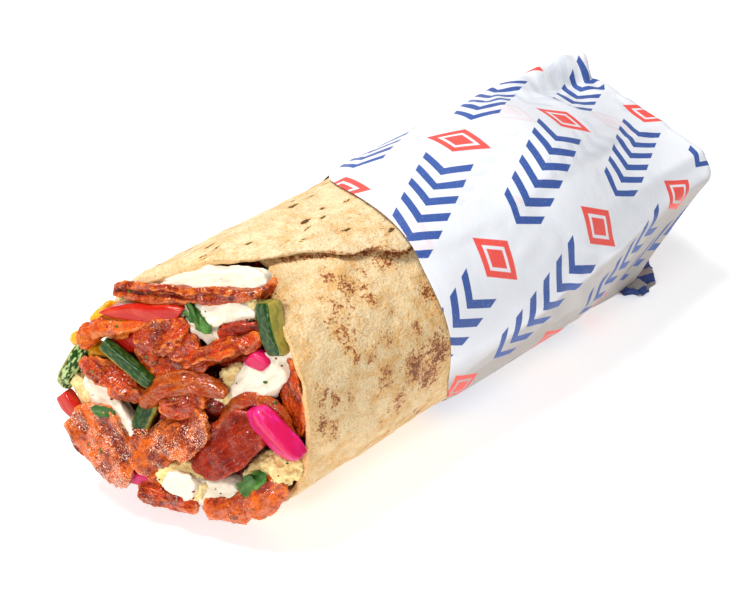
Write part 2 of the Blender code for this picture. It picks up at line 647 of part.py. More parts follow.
def keep_largest(thing, merge):
    """Drop the loose scraps that a cut leaves, and the slivers along it."""
    mesh = bmesh.new()
    mesh.from_mesh(thing.data)
    bmesh.ops.remove_doubles(mesh, verts=mesh.verts, dist=merge)
    bmesh.ops.dissolve_degenerate(mesh, edges=mesh.edges, dist=merge)
    bmesh.ops.triangulate(mesh, faces=mesh.faces)
    unseen = set(mesh.faces)
    islands = []
    while unseen:
        island = {unseen.pop()}
        edge_of_it = list(island)
        while edge_of_it:
            face = edge_of_it.pop()
            for edge in face.edges:
                for other in edge.link_faces:
                    if other in unseen:
                        unseen.remove(other)
                        island.add(other)
                        edge_of_it.append(other)
        islands.append(island)
    islands.sort(key=lambda faces: sum(f.calc_area() for f in faces), reverse=True)
    scraps = [face for island in islands[1:] for face in island]
    bmesh.ops.delete(mesh, geom=scraps, context="FACES")
    loose = [v for v in mesh.verts if not v.link_faces]
    bmesh.ops.delete(mesh, geom=loose, context="VERTS")
    mesh.to_mesh(thing.data)
    mesh.free()


def is_closed(thing):
    """Whether a piece is one watertight body."""
    mesh = bmesh.new()
    mesh.from_mesh(thing.data)
    closed = len(mesh.faces) > 3 and all(e.is_manifold and e.is_contiguous for e in mesh.edges)
    mesh.free()
    return closed


def cut_clear(thing, cutters):
    """Cut a piece back from each neighbour, one at a time, and keep it one closed body."""
    for cutter in cutters:
        if not boxes_meet(bounds(thing), bounds(cutter)):
            continue
        whole = thing.data
        for solver, merge in CUT_TRIES:
            cut = thing.modifiers.new("clear", "BOOLEAN")
            cut.operation = "DIFFERENCE"
            cut.object = cutter
            cut.solver = solver
            apply_modifiers(thing)
            keep_largest(thing, merge)
            if is_closed(thing):
                break
            thing.data = whole
        else:
            raise RuntimeError(thing.name + " could not be cut clear of " + cutter.name)


def seat_filling(pieces, bread, core, cutter_group):
    """Let each piece give way to those in front of it and to the bread, and the core to all."""
    bread_room = swollen(bread, cutter_group, BREAD_GAP * MM)
    rooms = [swollen(pieces[name], cutter_group, TOUCH_GAP * MM) for name in FRONT_TO_BACK]
    for place, name in enumerate(FRONT_TO_BACK):
        cut_clear(pieces[name], rooms[:place] + [bread_room])
    cut_clear(core, rooms)


def build():
    """Make the bread, the paper and the filling, and fit them together."""
    noise.seed_set(NOISE_SEED)
    clear_scene()
    group = collection(NAME)
    cutter_group = collection("cutters")
    bread = make_bread(group)
    make_sleeve(group)
    core = make_core(group)
    loose = make_meat(group) + make_vegetables(group) + make_sauce(group) + make_parsley(group)
    seat_filling({thing.name: thing for thing in loose}, bread, core, cutter_group)


build()
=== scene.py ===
"""Looks of a doner kebab sandwich: baked bread, printed paper, juicy filling and a plain stage.

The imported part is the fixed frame. Lengths inside the functions are in millimetres, measured along the
wrap from the near rim of the bread; stand() puts them in the part's own frame, in metres.
"""
import math
import random
from functools import partial

import bpy
import numpy as np
from mathutils import Matrix, Vector, noise


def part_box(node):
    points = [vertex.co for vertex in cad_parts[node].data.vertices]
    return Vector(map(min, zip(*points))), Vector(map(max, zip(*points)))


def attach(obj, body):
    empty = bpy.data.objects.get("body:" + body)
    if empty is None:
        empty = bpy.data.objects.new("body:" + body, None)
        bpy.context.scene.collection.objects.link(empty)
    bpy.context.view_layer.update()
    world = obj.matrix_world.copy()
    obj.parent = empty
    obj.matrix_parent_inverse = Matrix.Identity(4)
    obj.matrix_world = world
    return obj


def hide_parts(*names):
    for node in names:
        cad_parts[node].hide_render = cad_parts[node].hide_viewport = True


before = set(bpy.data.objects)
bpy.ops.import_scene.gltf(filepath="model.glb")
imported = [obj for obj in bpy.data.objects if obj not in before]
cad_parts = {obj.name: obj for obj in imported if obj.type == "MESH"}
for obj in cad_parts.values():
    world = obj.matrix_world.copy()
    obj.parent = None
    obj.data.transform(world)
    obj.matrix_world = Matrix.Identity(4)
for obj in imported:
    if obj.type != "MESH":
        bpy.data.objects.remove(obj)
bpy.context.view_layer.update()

bl_info = {
    "name": "Doner Kebab Sandwich",
    "version": (1, 0, 0),
    "blender": (4, 5, 0),
    "location": "3D View > Sidebar > Kebab",
    "description": "Dresses the doner kebab sandwich and sets its stage",
    "category": "Object",
}

MM = 0.001

# The wrap's own measures, as in the part's source; the frame gives its radius and where it stands
SLEEVE_LOW, SLEEVE_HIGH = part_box("paper_sleeve")
SLEEVE_R = (SLEEVE_HIGH.y - SLEEVE_LOW.y) / 2 / MM
PAPER_END_X = 163.0
MOUTH_X = SLEEVE_HIGH.x / MM - PAPER_END_X
AXIS_Z = 34.0
BREAD_R = 34.0
BREAD_T = 2.6
BREAD_END_X = 124.0
BREAD_INSET = SLEEVE_R - BREAD_R
LAYER_GAP = 0.45
TABLE_GAP = 0.3
SEAM_ANGLE = 87.0
SEAM_DRIFT = 0.88
SEAM_START_X = 13.0
SEAM_END_X = 46.0
BREAD_TURNS = 418.0
LIP_CURL = 2.6
LIP_DEPTH = 5.0
PAPER_BULK_X = 98.0
PAPER_END_LEAN = 0.5
PAPER_END_MIDDLE = (155.0, 0.0, 27.0)

# Scorched marks on the far flap: how far along, angle round the wrap; each is drawn out along the wrap
FAR_MARKS = (
    (43, 113), (38.7, 117), (35.4, 110), (38.7, 97), (35.9, 91), (31.3, 94), (37.1, 79), (47.6, 68),
    (25.8, 84), (45.9, 93), (29.6, 89), (8, 113), (8, 107), (3.5, 106), (51.9, 121), (14.3, 98.5),
)

# Spots strewn over the sides of the bread that don't show, and small ones over its near side
HIDDEN_SPOTS = 70
SMALL_SPOTS = 34

# The rim of the bread: turn from the seam in degrees, and how far along the wrap the rim stands
BREAD_RIM = (
    (0, 8), (12, -2), (24, -9), (38, -13.5), (60, -14), (100, -13), (170, -8),
    (235, -2.5), (270, -1), (290, 0.8), (318, 3.4), (339, 8), (352, 11), (360, 14), (418, 18),
)

# The sleeve's front edge: angle round the wrap, and how far along the wrap the edge stands
PAPER_FRONT = (
    (0, 48.6), (100, 48.8), (115, 51), (138, 60), (200, 60), (300, 58), (345, 49.5), (360, 48.6),
)

# The folded rear end of the sleeve: angle round the wrap, then sideways and up
PAPER_END = (
    (5, -29.5, 37), (28, -25, 44.5), (112, 19, 49.5), (128, 25, 57), (150, 28, 50), (190, 29, 26),
    (238, 17, 0), (302, -18, 0), (348, -26, 27), (365, -29.5, 37),
)

# Creases strewn over the sleeve, and the loose end of paper under its rear
CREASES = 110
TAIL_START, TAIL_LENGTH = 134.0, 20.0

# The paper's print within one repeat: rows, bars of a chevron, and the diamond with its ring
ROW_SHARE = 0.40
BAR_STEP = 6.4
BAR_WIDTH = 3.0
BAR_SLOPE = 0.8
BAR_REACH = 6.7
CHEVRONS_FROM, CHEVRONS_TO = -29.3, 5.5
DIAMOND_AT = 19.0
DIAMOND_LONG, DIAMOND_TALL = 6.0, 9.2
RING_INSIDE, RING_OUTSIDE = 0.47, 0.65
INK_EDGE, DIAMOND_EDGE = 0.1, 0.03

# The mouth is looked at from the front, the near side and above; its face leans to the right and up
MOUTH_CENTRE = (-8.0, 0.0, 34.0)
MOUTH_BULGE = 3.0
MOUTH_RISE_RIGHT = 0.40
MOUTH_RISE_UP = 0.30

# Toasted spots on the bread: how far along, angle round the wrap, size in millimetres, strength
TOAST_SPOTS = (
    (24.4, 63.9, 2.2, 0.9), (27.4, 56.3, 2.6, 1.0), (31.2, 52.0, 1.8, 0.9), (30.4, 46.5, 2.6, 0.85),
    (20.0, 50.0, 3.4, 0.72), (18.0, 40.5, 4.2, 0.76), (15.5, 46.6, 2.6, 0.6), (41.7, 59.0, 3.4, 0.9),
    (47.8, 35.8, 2.6, 0.95), (39.7, 23.2, 2.2, 0.8), (37.0, 7.3, 5.0, 1.0), (44.6, 8.6, 4.6, 1.0),
    (41.6, -1.6, 4.4, 0.95), (18.1, 28.3, 2.2, 0.8), (22.8, 24.6, 2.6, 0.8), (25.6, 11.8, 3.4, 0.86),
    (30.0, -5.0, 4.0, 0.8), (5.4, 21.1, 2.4, 0.85), (8.5, 15.9, 2.4, 0.8), (3.5, 8.4, 2.6, 0.9),
    (6.5, 3.0, 2.4, 0.85), (28.4, 28.3, 2.4, 0.65), (12.4, 62.0, 3.0, 0.5), (34.0, 38.0, 2.4, 0.6),
)

# Where flecks are dropped on the mouth: right, up, and how high above its face they start
FLECKS_RIGHT, FLECKS_UP, FLECKS_FROM = (-31.0, 23.0), (-28.0, 27.0), 40.0
FLECKS_ON = ("_roasted", "_cooked", "_spooned")

# A relief whose height is 0 is left out
NO_RELIEF = (1.0, 0.0)

# The lights: right, away and up from the point that the camera looks at, and their size, in metres
KEY_AT, KEY_SIZE = (-0.25, 0.03, 0.83), 0.26
FILL_AT, FILL_SIZE, FILL_SHARE = (-0.38, -0.70, 0.42), 0.18, 0.40
STUDIO_COLOUR, STUDIO_STRENGTH = (0.97, 0.985, 1.0, 1.0), 0.28
FLOOR_SIZE = 6.0


def tone(red, green, blue):
    """A colour as the eye sees it, each part from 0 to 255, turned into scene-linear light."""
    shares = [part / 255.0 for part in (red, green, blue)]
    return tuple(share / 12.92 if share <= 0.04045 else ((share + 0.055) / 1.055) ** 2.4
                 for share in shares)


def scaled(colour, share):
    """A colour made darker."""
    return [share * part for part in colour]


def between(one, other):
    """The colour halfway between two others."""
    return [0.5 * (a + b) for a, b in zip(one, other)]


def length_setting(name, description, default):
    """A length that a user can change, in metres."""
    return bpy.props.FloatProperty(name=name, description=description, default=default, min=0.0,
                                   precision=5, subtype="DISTANCE", unit="LENGTH")


def share_setting(name, description, default):
    """A share from 0 to 1 that a user can change."""
    return bpy.props.FloatProperty(name=name, description=description, default=default, min=0.0,
                                   max=1.0, subtype="FACTOR")


def colour_setting(name, description, default):
    """A colour that a user can change."""
    return bpy.props.FloatVectorProperty(name=name, description=description, default=default,
                                         size=3, min=0.0, max=1.0, subtype="COLOR")


class BreadSettings(bpy.types.PropertyGroup):
    """The rolled flatbread."""
    pale: colour_setting("Pale crumb", "Bread where the pan barely touched it", tone(236, 216, 174))
    golden: colour_setting("Golden crumb", "Bread with a little colour", tone(222, 172, 102))
    toasted: colour_setting("Toasted", "Brown of the toasted spots", tone(164, 92, 44))
    scorched: colour_setting("Scorched", "Darkest specks in the toasted spots", tone(100, 44, 18))
    burnt: colour_setting("Burnt", "Long marks on the far flap", tone(52, 26, 14))
    blister: length_setting("Blister height", "How far the bread's blisters rise", 0.0009)


class PaperSettings(bpy.types.PropertyGroup):
    """The printed paper sleeve."""
    thickness: length_setting("Paper thickness", "Thickness of the sleeve's wall", 0.00022)
    overlap: length_setting("Overlap step", "Rise where one layer of paper lies on the other", 0.0007)
    crease: length_setting("Crease depth", "Depth of the sleeve's creases", 0.0013)
    white: colour_setting("Paper white", "Colour of the bare paper", tone(231, 232, 237))
    # Painted shade: the colour given to paper that faces down, lies below the lower crease, or lies in
    # the tail
    under: colour_setting("Paper below", "Duller paper on the side turned down", tone(176, 168, 160))
    blue: colour_setting("Print blue", "Blue of the chevrons", tone(58, 88, 158))
    red: colour_setting("Print red", "Red of the diamonds", tone(240, 84, 74))
    pitch: length_setting("Print pitch", "Length of one repeat of the print", 0.060)


class FillingSettings(bpy.types.PropertyGroup):
    """Meat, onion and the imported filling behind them."""
    voxel: length_setting("Detail size", "Size of the finest modelled detail", 0.00036)
    swell: length_setting("Swell", "How far each piece grows into its neighbours", 0.0004)
    # Deep meat, made darker still, is also the painted shade in the meat's creases
    deep: colour_setting("Deep meat", "Marinated meat in its folds", tone(118, 18, 4))
    warm: colour_setting("Warm meat", "Marinated meat on its faces", tone(192, 54, 10))
    # Bright meat is also the painted highlight on the meat's ridges
    bright: colour_setting("Bright meat", "Fat and grain that catch the light", tone(236, 120, 24))
    char: colour_setting("Char", "Grilled edges and specks", tone(58, 14, 6))
    amber: colour_setting("Amber", "Cooked onion and pepper", tone(206, 108, 30))
    # Painted highlight: the colour of the glints painted on the meat
    glint: colour_setting("Glint", "Light caught by specks of oil", tone(255, 226, 196))


class GardenSettings(bpy.types.PropertyGroup):
    """Tomato, pepper, cucumber, turnip and parsley."""
    tomato: colour_setting("Tomato", "Tomato flesh and skin", tone(186, 26, 12))
    tomato_pale: colour_setting("Tomato veins", "Paler tomato flesh", tone(226, 92, 48))
    pepper: colour_setting("Pepper", "Yellow pepper", tone(232, 158, 24))
    pepper_pale: colour_setting("Pepper veins", "Paler pepper flesh", tone(246, 196, 70))
    skin: colour_setting("Cucumber skin", "Dark green skin", tone(22, 60, 12))
    stripe: colour_setting("Cucumber stripes", "Pale flecks of the skin", tone(186, 204, 130))
    flesh: colour_setting("Cucumber flesh", "Pale green flesh", tone(180, 158, 74))
    core: colour_setting("Cucumber core", "Darker flesh round the seeds", tone(138, 134, 52))
    under_skin: colour_setting("Below the skin", "Flesh next to the skin", tone(112, 132, 48))
    turnip: colour_setting("Pickled turnip", "Pink of the pickled turnip", tone(205, 16, 82))
    turnip_pale: colour_setting("Turnip veins", "Lilac veins of the turnip", tone(224, 50, 162))
    parsley: colour_setting("Parsley", "Green of the parsley leaves", tone(44, 90, 22))
    parsley_pale: colour_setting("Parsley veins", "Paler green of the leaves", tone(110, 160, 60))


class SauceSettings(bpy.types.PropertyGroup):
    """White sauce and hummus."""
    sauce: colour_setting("Sauce", "Creamy white sauce", tone(240, 226, 204))
    # Painted shade: the colour given to the sauce's hollows
    sauce_shade: colour_setting("Sauce hollows", "Sauce in its folds", tone(240, 222, 184))
    hummus: colour_setting("Hummus", "Crumbly hummus", tone(248, 220, 152))
    # Painted shade: the colour given to the hummus's hollows
    hummus_shade: colour_setting("Hummus hollows", "Hummus in its pits", tone(232, 178, 88))


class StageSettings(bpy.types.PropertyGroup):
    """Floor, light and camera."""
    floor: colour_setting("Floor", "Pale floor", (0.88, 0.88, 0.885))
    floor_glow: share_setting("Floor glow", "Light of the floor itself, as on a light table", 0.53)
    key_power: bpy.props.FloatProperty(name="Key light", description="Power of the large soft light",
                                       default=7.9, min=0.0, subtype="POWER", unit="POWER")
    azimuth: bpy.props.FloatProperty(name="Azimuth", description="Side that the camera looks from",
                                     default=math.radians(-43.28), subtype="ANGLE", unit="ROTATION")
    elevation: bpy.props.FloatProperty(name="Elevation", description="How high the camera looks from",
                                       default=math.radians(37.5), subtype="ANGLE", unit="ROTATION")
    distance: length_setting("Camera distance", "From the camera to the point it looks at", 0.5513)
    aim: bpy.props.FloatVectorProperty(name="Aim", description="Point the camera looks at", size=3,
                                       default=(-0.01351, -0.00161, 0.034), subtype="TRANSLATION",
                                       unit="LENGTH")
    lens: bpy.props.FloatProperty(name="Lens", description="Focal length", default=97.2,
                                  subtype="DISTANCE_CAMERA", unit="CAMERA")


# Shaping

def smooth(t):
    """0 to 1 with a soft start and stop."""
    t = min(max(t, 0.0), 1.0)
    return t * t * (3.0 - 2.0 * t)


def curve_at(points, place):
    """A smooth curve through (place, value) points, read at one place."""
    places = [p[0] for p in points]
    values = [p[1] for p in points]
    if place <= places[0]:
        return values[0]
    if place >= places[-1]:
        return values[-1]
    k = max(i for i, p in enumerate(places) if p <= place)
    span = places[k + 1] - places[k]
    t = (place - places[k]) / span
    before, after = max(k - 1, 0), min(k + 2, len(points) - 1)
    slope_in = (values[k + 1] - values[before]) / (places[k + 1] - places[before]) * span
    slope_out = (values[after] - values[k]) / (places[after] - places[k]) * span
    rise = values[k + 1] - values[k]
    return (values[k] + slope_in * t + (3 * rise - 2 * slope_in - slope_out) * t ** 2
            + (slope_in + slope_out - 2 * rise) * t ** 3)


def stand(x, y, z):
    """A point of the wrap in the part's frame."""
    return (x + MOUTH_X) * MM, y * MM, z * MM


def end_corner(angle):
    """The sleeve's folded end, read at an angle round the wrap."""
    angle = (angle - 5.0) % 360.0 + 5.0
    for (a0, y0, z0), (a1, y1, z1) in zip(PAPER_END, PAPER_END[1:]):
        if angle <= a1:
            t = (angle - a0) / (a1 - a0)
            return y0 + (y1 - y0) * t, z0 + (z1 - z0) * t
    return PAPER_END[-1][1:]


def wrap_point(angle, x, inset):
    """A point round the wrap at x: a circle that turns into the sleeve's folded, leaning end."""
    a = math.radians(angle)
    radius = SLEEVE_R - inset
    y = -radius * math.cos(a)
    z = max(AXIS_Z + radius * math.sin(a), inset)
    pinch = smooth((x - PAPER_BULK_X) / (PAPER_END_X - PAPER_BULK_X))
    corner_y, corner_z = end_corner(angle)
    inward = Vector((-corner_y, PAPER_END_MIDDLE[2] - corner_z)).normalized() * inset * 2.0
    y += (corner_y + inward.x - y) * pinch
    z += (max(corner_z + inward.y, inset) - z) * pinch
    x -= PAPER_END_LEAN * max(40.0 - z, 0.0) * pinch
    return x, y, z


def seam_angle(x):
    """Where the bread's outer edge lies round the wrap: it drifts down towards the near side."""
    run = min(max(x, -20.0), SEAM_END_X) - SEAM_START_X
    return SEAM_ANGLE - SEAM_DRIFT * run + 0.9 * math.sin(x * 0.35)


def heading(azimuth, elevation):
    """The direction from the wrap towards a viewer."""
    return Vector((math.sin(azimuth) * math.cos(elevation), -math.cos(azimuth) * math.cos(elevation),
                   math.sin(elevation)))


def mouth_axes():
    """Right, up and out, as the mouth is looked at."""
    out = heading(math.radians(-43.3), math.radians(37.5))
    right = Vector((0.0, 0.0, 1.0)).cross(out).normalized()
    return right, out.cross(right), out


RIGHT, UP, OUT = mouth_axes()


def mouth_point(right, up, lift):
    """A point of the filling's face, raised by lift towards whoever looks at it."""
    depth = MOUTH_BULGE + MOUTH_RISE_RIGHT * right + MOUTH_RISE_UP * up + lift
    return Vector(MOUTH_CENTRE) + RIGHT * right + UP * up + OUT * depth


def mouth_turn(turn, tip, dip=0.0):
    """Length, width and thickness directions of a piece that lies on the filling's face."""
    c, s = math.cos(math.radians(turn)), math.sin(math.radians(turn))
    slope = MOUTH_RISE_RIGHT * c + MOUTH_RISE_UP * s - math.tan(math.radians(dip))
    length = (RIGHT * c + UP * s + OUT * slope).normalized()
    facing = OUT - RIGHT * MOUTH_RISE_RIGHT - UP * MOUTH_RISE_UP
    facing = (facing - length * facing.dot(length)).normalized()
    facing = Matrix.Rotation(math.radians(tip), 3, length) @ facing
    return length, facing.cross(length), facing


def only(piece):
    """Make one object the selected and active one."""
    bpy.ops.object.select_all(action="DESELECT")
    piece.select_set(True)
    bpy.context.view_layer.objects.active = piece


def joined(piece, others):
    """Make the other objects part of one piece."""
    only(piece)
    for other in others:
        other.select_set(True)
    bpy.ops.object.join()


def applied(piece, kind, **settings):
    """Give a piece a modifier and apply it."""
    modifier = piece.modifiers.new(kind.title(), kind)
    for key, value in settings.items():
        setattr(modifier, key, value)
    only(piece)
    bpy.ops.object.modifier_apply(modifier=modifier.name)


def rounded_off(piece):
    """One round of subdivision, the same in the viewport and the render."""
    applied(piece, "SUBSURF", levels=1, render_levels=1)


def points_of(piece):
    """The places of all of a mesh's points."""
    spots = np.zeros(len(piece.data.vertices) * 3, np.float32)
    piece.data.vertices.foreach_get("co", spots)
    return spots.reshape(-1, 3).astype(float)


def normals_of(piece):
    """The way that each of a mesh's points faces."""
    facing = np.zeros(len(piece.data.vertices) * 3, np.float32)
    piece.data.vertices.foreach_get("normal", facing)
    return facing.reshape(-1, 3).astype(float)


def set_points(piece, spots):
    """Move all of a mesh's points."""
    piece.data.vertices.foreach_set("co", spots.astype(np.float32).ravel())
    piece.data.update()


def keep_values(piece, name, values):
    """Store a number, or three, for each vertex, for the materials to read."""
    values = np.asarray(values, np.float32)
    kind, field = ("FLOAT_VECTOR", "vector") if values.ndim == 2 else ("FLOAT", "value")
    layer = piece.data.attributes.new(name, kind, "POINT")
    layer.data.foreach_set(field, values.ravel())


def values_of(piece, name):
    """The numbers that keep_values stored."""
    layer = piece.data.attributes[name]
    wide = layer.data_type == "FLOAT_VECTOR"
    values = np.zeros(len(piece.data.vertices) * (3 if wide else 1), np.float32)
    layer.data.foreach_get("vector" if wide else "value", values)
    return values.reshape(-1, 3).astype(float) if wide else values.astype(float)


def grid(steps, size):
    """A flat square grid."""
    bpy.ops.object.select_all(action="DESELECT")
    bpy.ops.mesh.primitive_grid_add(x_subdivisions=steps[0], y_subdivisions=steps[1], size=size,
                                    calc_uvs=False)
    return bpy.context.active_object


def grid_sheet(name, steps, place):
    """A grid whose points are put at place(along, around), which also says what each one is."""
    piece = grid(steps, 1.0)
    piece.name = name
    found = [place(x + 0.5, y + 0.5) for x, y, _ in points_of(piece)]
    set_points(piece, np.array([spot for spot, _ in found]))
    keep_values(piece, "roll", [roll for _, roll in found])
    return piece


def merge_doubles(piece, outwards=False):
    """Join vertices that lie on each other, and turn the faces outwards where that is asked."""
    only(piece)
    bpy.ops.object.mode_set(mode="EDIT")
    bpy.ops.mesh.select_all(action="SELECT")
    bpy.ops.mesh.remove_doubles(threshold=0.01 * MM)
    if outwards:
        bpy.ops.mesh.normals_make_consistent(inside=False)
    bpy.ops.object.mode_set(mode="OBJECT")


def relief(piece, kind, size, height, stretch=(1.0, 1.0, 1.0), axes=None, seed=0.0, group=""):
    """Raise a surface by a procedural texture, its size and height in millimetres."""
    texture = bpy.data.textures.new("relief", kind)
    texture.noise_scale = size
    guide = bpy.data.objects.new("relief_guide", None)
    bpy.context.scene.collection.objects.link(guide)
    turned = axes.copy() if axes else Matrix.Identity(4)
    shifted = Matrix.Translation(Vector((seed, 0.7 * seed, 1.3 * seed)) * 0.013)
    guide.matrix_world = shifted @ turned @ Matrix.Diagonal((*[s * MM for s in stretch], 1.0))
    bpy.context.view_layer.update()
    applied(piece, "DISPLACE", texture=texture, texture_coords="OBJECT", texture_coords_object=guide,
            strength=height * MM, mid_level=0.5, vertex_group=group)
    bpy.data.objects.remove(guide)
    bpy.data.textures.remove(texture)


def long_axes(piece):
    """A frame on a piece: its middle, its long direction, its width and its thickness."""
    spots = points_of(piece)
    middle = spots.mean(0)
    _, _, turned = np.linalg.svd(spots - middle, full_matrices=False)
    if np.linalg.det(turned) < 0:
        turned[2] *= -1
    axes = Matrix([list(row) for row in turned.T]).to_4x4()
    axes.translation = middle
    return axes


def standing_out(piece, rounds=10):
    """How far each point stands out of the smoothed surface, in millimetres."""
    spots, facing = points_of(piece), normals_of(piece)
    ends = np.zeros(len(piece.data.edges) * 2, np.int32)
    piece.data.edges.foreach_get("vertices", ends)
    one, other = ends.reshape(-1, 2).T
    count = np.bincount(ends, minlength=len(spots))[:, None]
    even = spots.copy()
    for _ in range(rounds):
        total = np.zeros_like(even)
        for axis in range(3):
            total[:, axis] = (np.bincount(one, even[other, axis], len(even))
                              + np.bincount(other, even[one, axis], len(even)))
        even = 0.4 * even + 0.6 * total / count
    return ((spots - even) * facing).sum(1) / MM


def slab(at, turn, size, tip=0.0, taper=0.0, curve=0.0, arch=0.0, cup=0.0, lip=0.0, groove=0.0,
         ragged=0.8, wave=0.8, seed=0.0, steps=(30, 20)):
    """A torn slice: a grid with an uneven outline, bent and creased, then given its thickness.

    size is length, width and thickness. arch bows it along its length and cup across it, lip turns up
    one long edge, and groove draws a channel along it.
    """
    length, width, thick = size
    axis_x, axis_y, axis_z = mouth_turn(turn, tip)
    centre = mouth_point(*at)
    piece = grid(steps, 2.0)
    spots = []
    for a, c, _ in points_of(piece):
        u = a * math.sqrt(1.0 - 0.42 * c * c)
        v = c * math.sqrt(1.0 - 0.42 * a * a)
        reach = max(abs(a), abs(c))
        broad = noise.noise(Vector((u * length * 0.10, v * width * 0.10, seed)))
        small = noise.noise(Vector((u * length * 0.3, v * width * 0.3, seed + 9)))
        torn = ragged * reach ** 3 * (broad + 0.35 * small)
        x = u * (length / 2 + torn)
        y = v * (width / 2 * (1.0 - taper * u) + torn)
        bend = math.atan(-4.0 * curve * u / length)
        z = arch * (0.5 - u * u) + cup * (0.5 - v * v) + lip * smooth((v - 0.45) / 0.5)
        z += groove * math.cos(2.0 * math.pi * v)
        z += wave * (noise.noise(Vector((x * 0.14, y * 0.22, seed + 3)))
                     + 0.6 * abs(noise.noise(Vector((x * 0.12, y * 0.5, seed + 5)))))
        x, y = x - y * math.sin(bend), y * math.cos(bend) + curve * (0.5 - u * u)
        spots.append(stand(*(centre + axis_x * x + axis_y * y + axis_z * z)))
    set_points(piece, np.array(spots))
    applied(piece, "SOLIDIFY", thickness=thick * MM, offset=0.0)
    return piece


def stick(at, turn, size, tip=0.0, taper=0.0, slant=0.0, arch=0.0, ends=0.12, wave=0.25, seed=0.0):
    """A cut stick or wedge: a block with flat faces, narrower at one end, its ends cut at a slant."""
    length, width, thick = size
    axis_x, axis_y, axis_z = mouth_turn(turn, tip)
    centre = mouth_point(*at)
    bpy.ops.object.select_all(action="DESELECT")
    bpy.ops.mesh.primitive_cube_add(size=2.0, calc_uvs=False)
    piece = bpy.context.active_object
    bpy.ops.object.mode_set(mode="EDIT")
    bpy.ops.mesh.subdivide(number_cuts=8)
    bpy.ops.object.mode_set(mode="OBJECT")
    spots = []
    for a, c, b in points_of(piece):
        narrow = (1.0 - taper * a) * (1.0 - ends * smooth((abs(a) - 0.6) / 0.4))
        narrow *= max(abs(b), abs(c)) / max((b ** 6 + c ** 6) ** (1 / 6), 1e-6)
        x = a * length / 2 + slant * c
        y = c * width / 2 * narrow
        z = b * thick / 2 * narrow + arch * (0.5 - a * a)
        drift = noise.noise_vector(Vector((x * 0.16, y * 0.2, z * 0.2 + seed))) * wave
        x, y, z = Vector((x, y, z)) + drift
        spots.append(stand(*(centre + axis_x * x + axis_y * y + axis_z * z)))
    set_points(piece, np.array(spots))
    return piece


def cut(*place, **shape):
    """A torn slice, to be made together with the piece it belongs to."""
    return partial(slab, *place, **shape)


def block(*place, **shape):
    """A flat-faced stick, to be made together with the piece it belongs to."""
    return partial(stick, *place, **shape)


def finished(piece, finish, slot, *nodes):
    """Shade a piece, give it its material, and let it stand for its nodes."""
    only(piece)
    bpy.ops.object.shade_smooth()
    piece.data.materials.clear()
    piece.data.materials.append(finish)
    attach(piece, "root")
    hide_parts(*nodes)
    return piece


# Materials

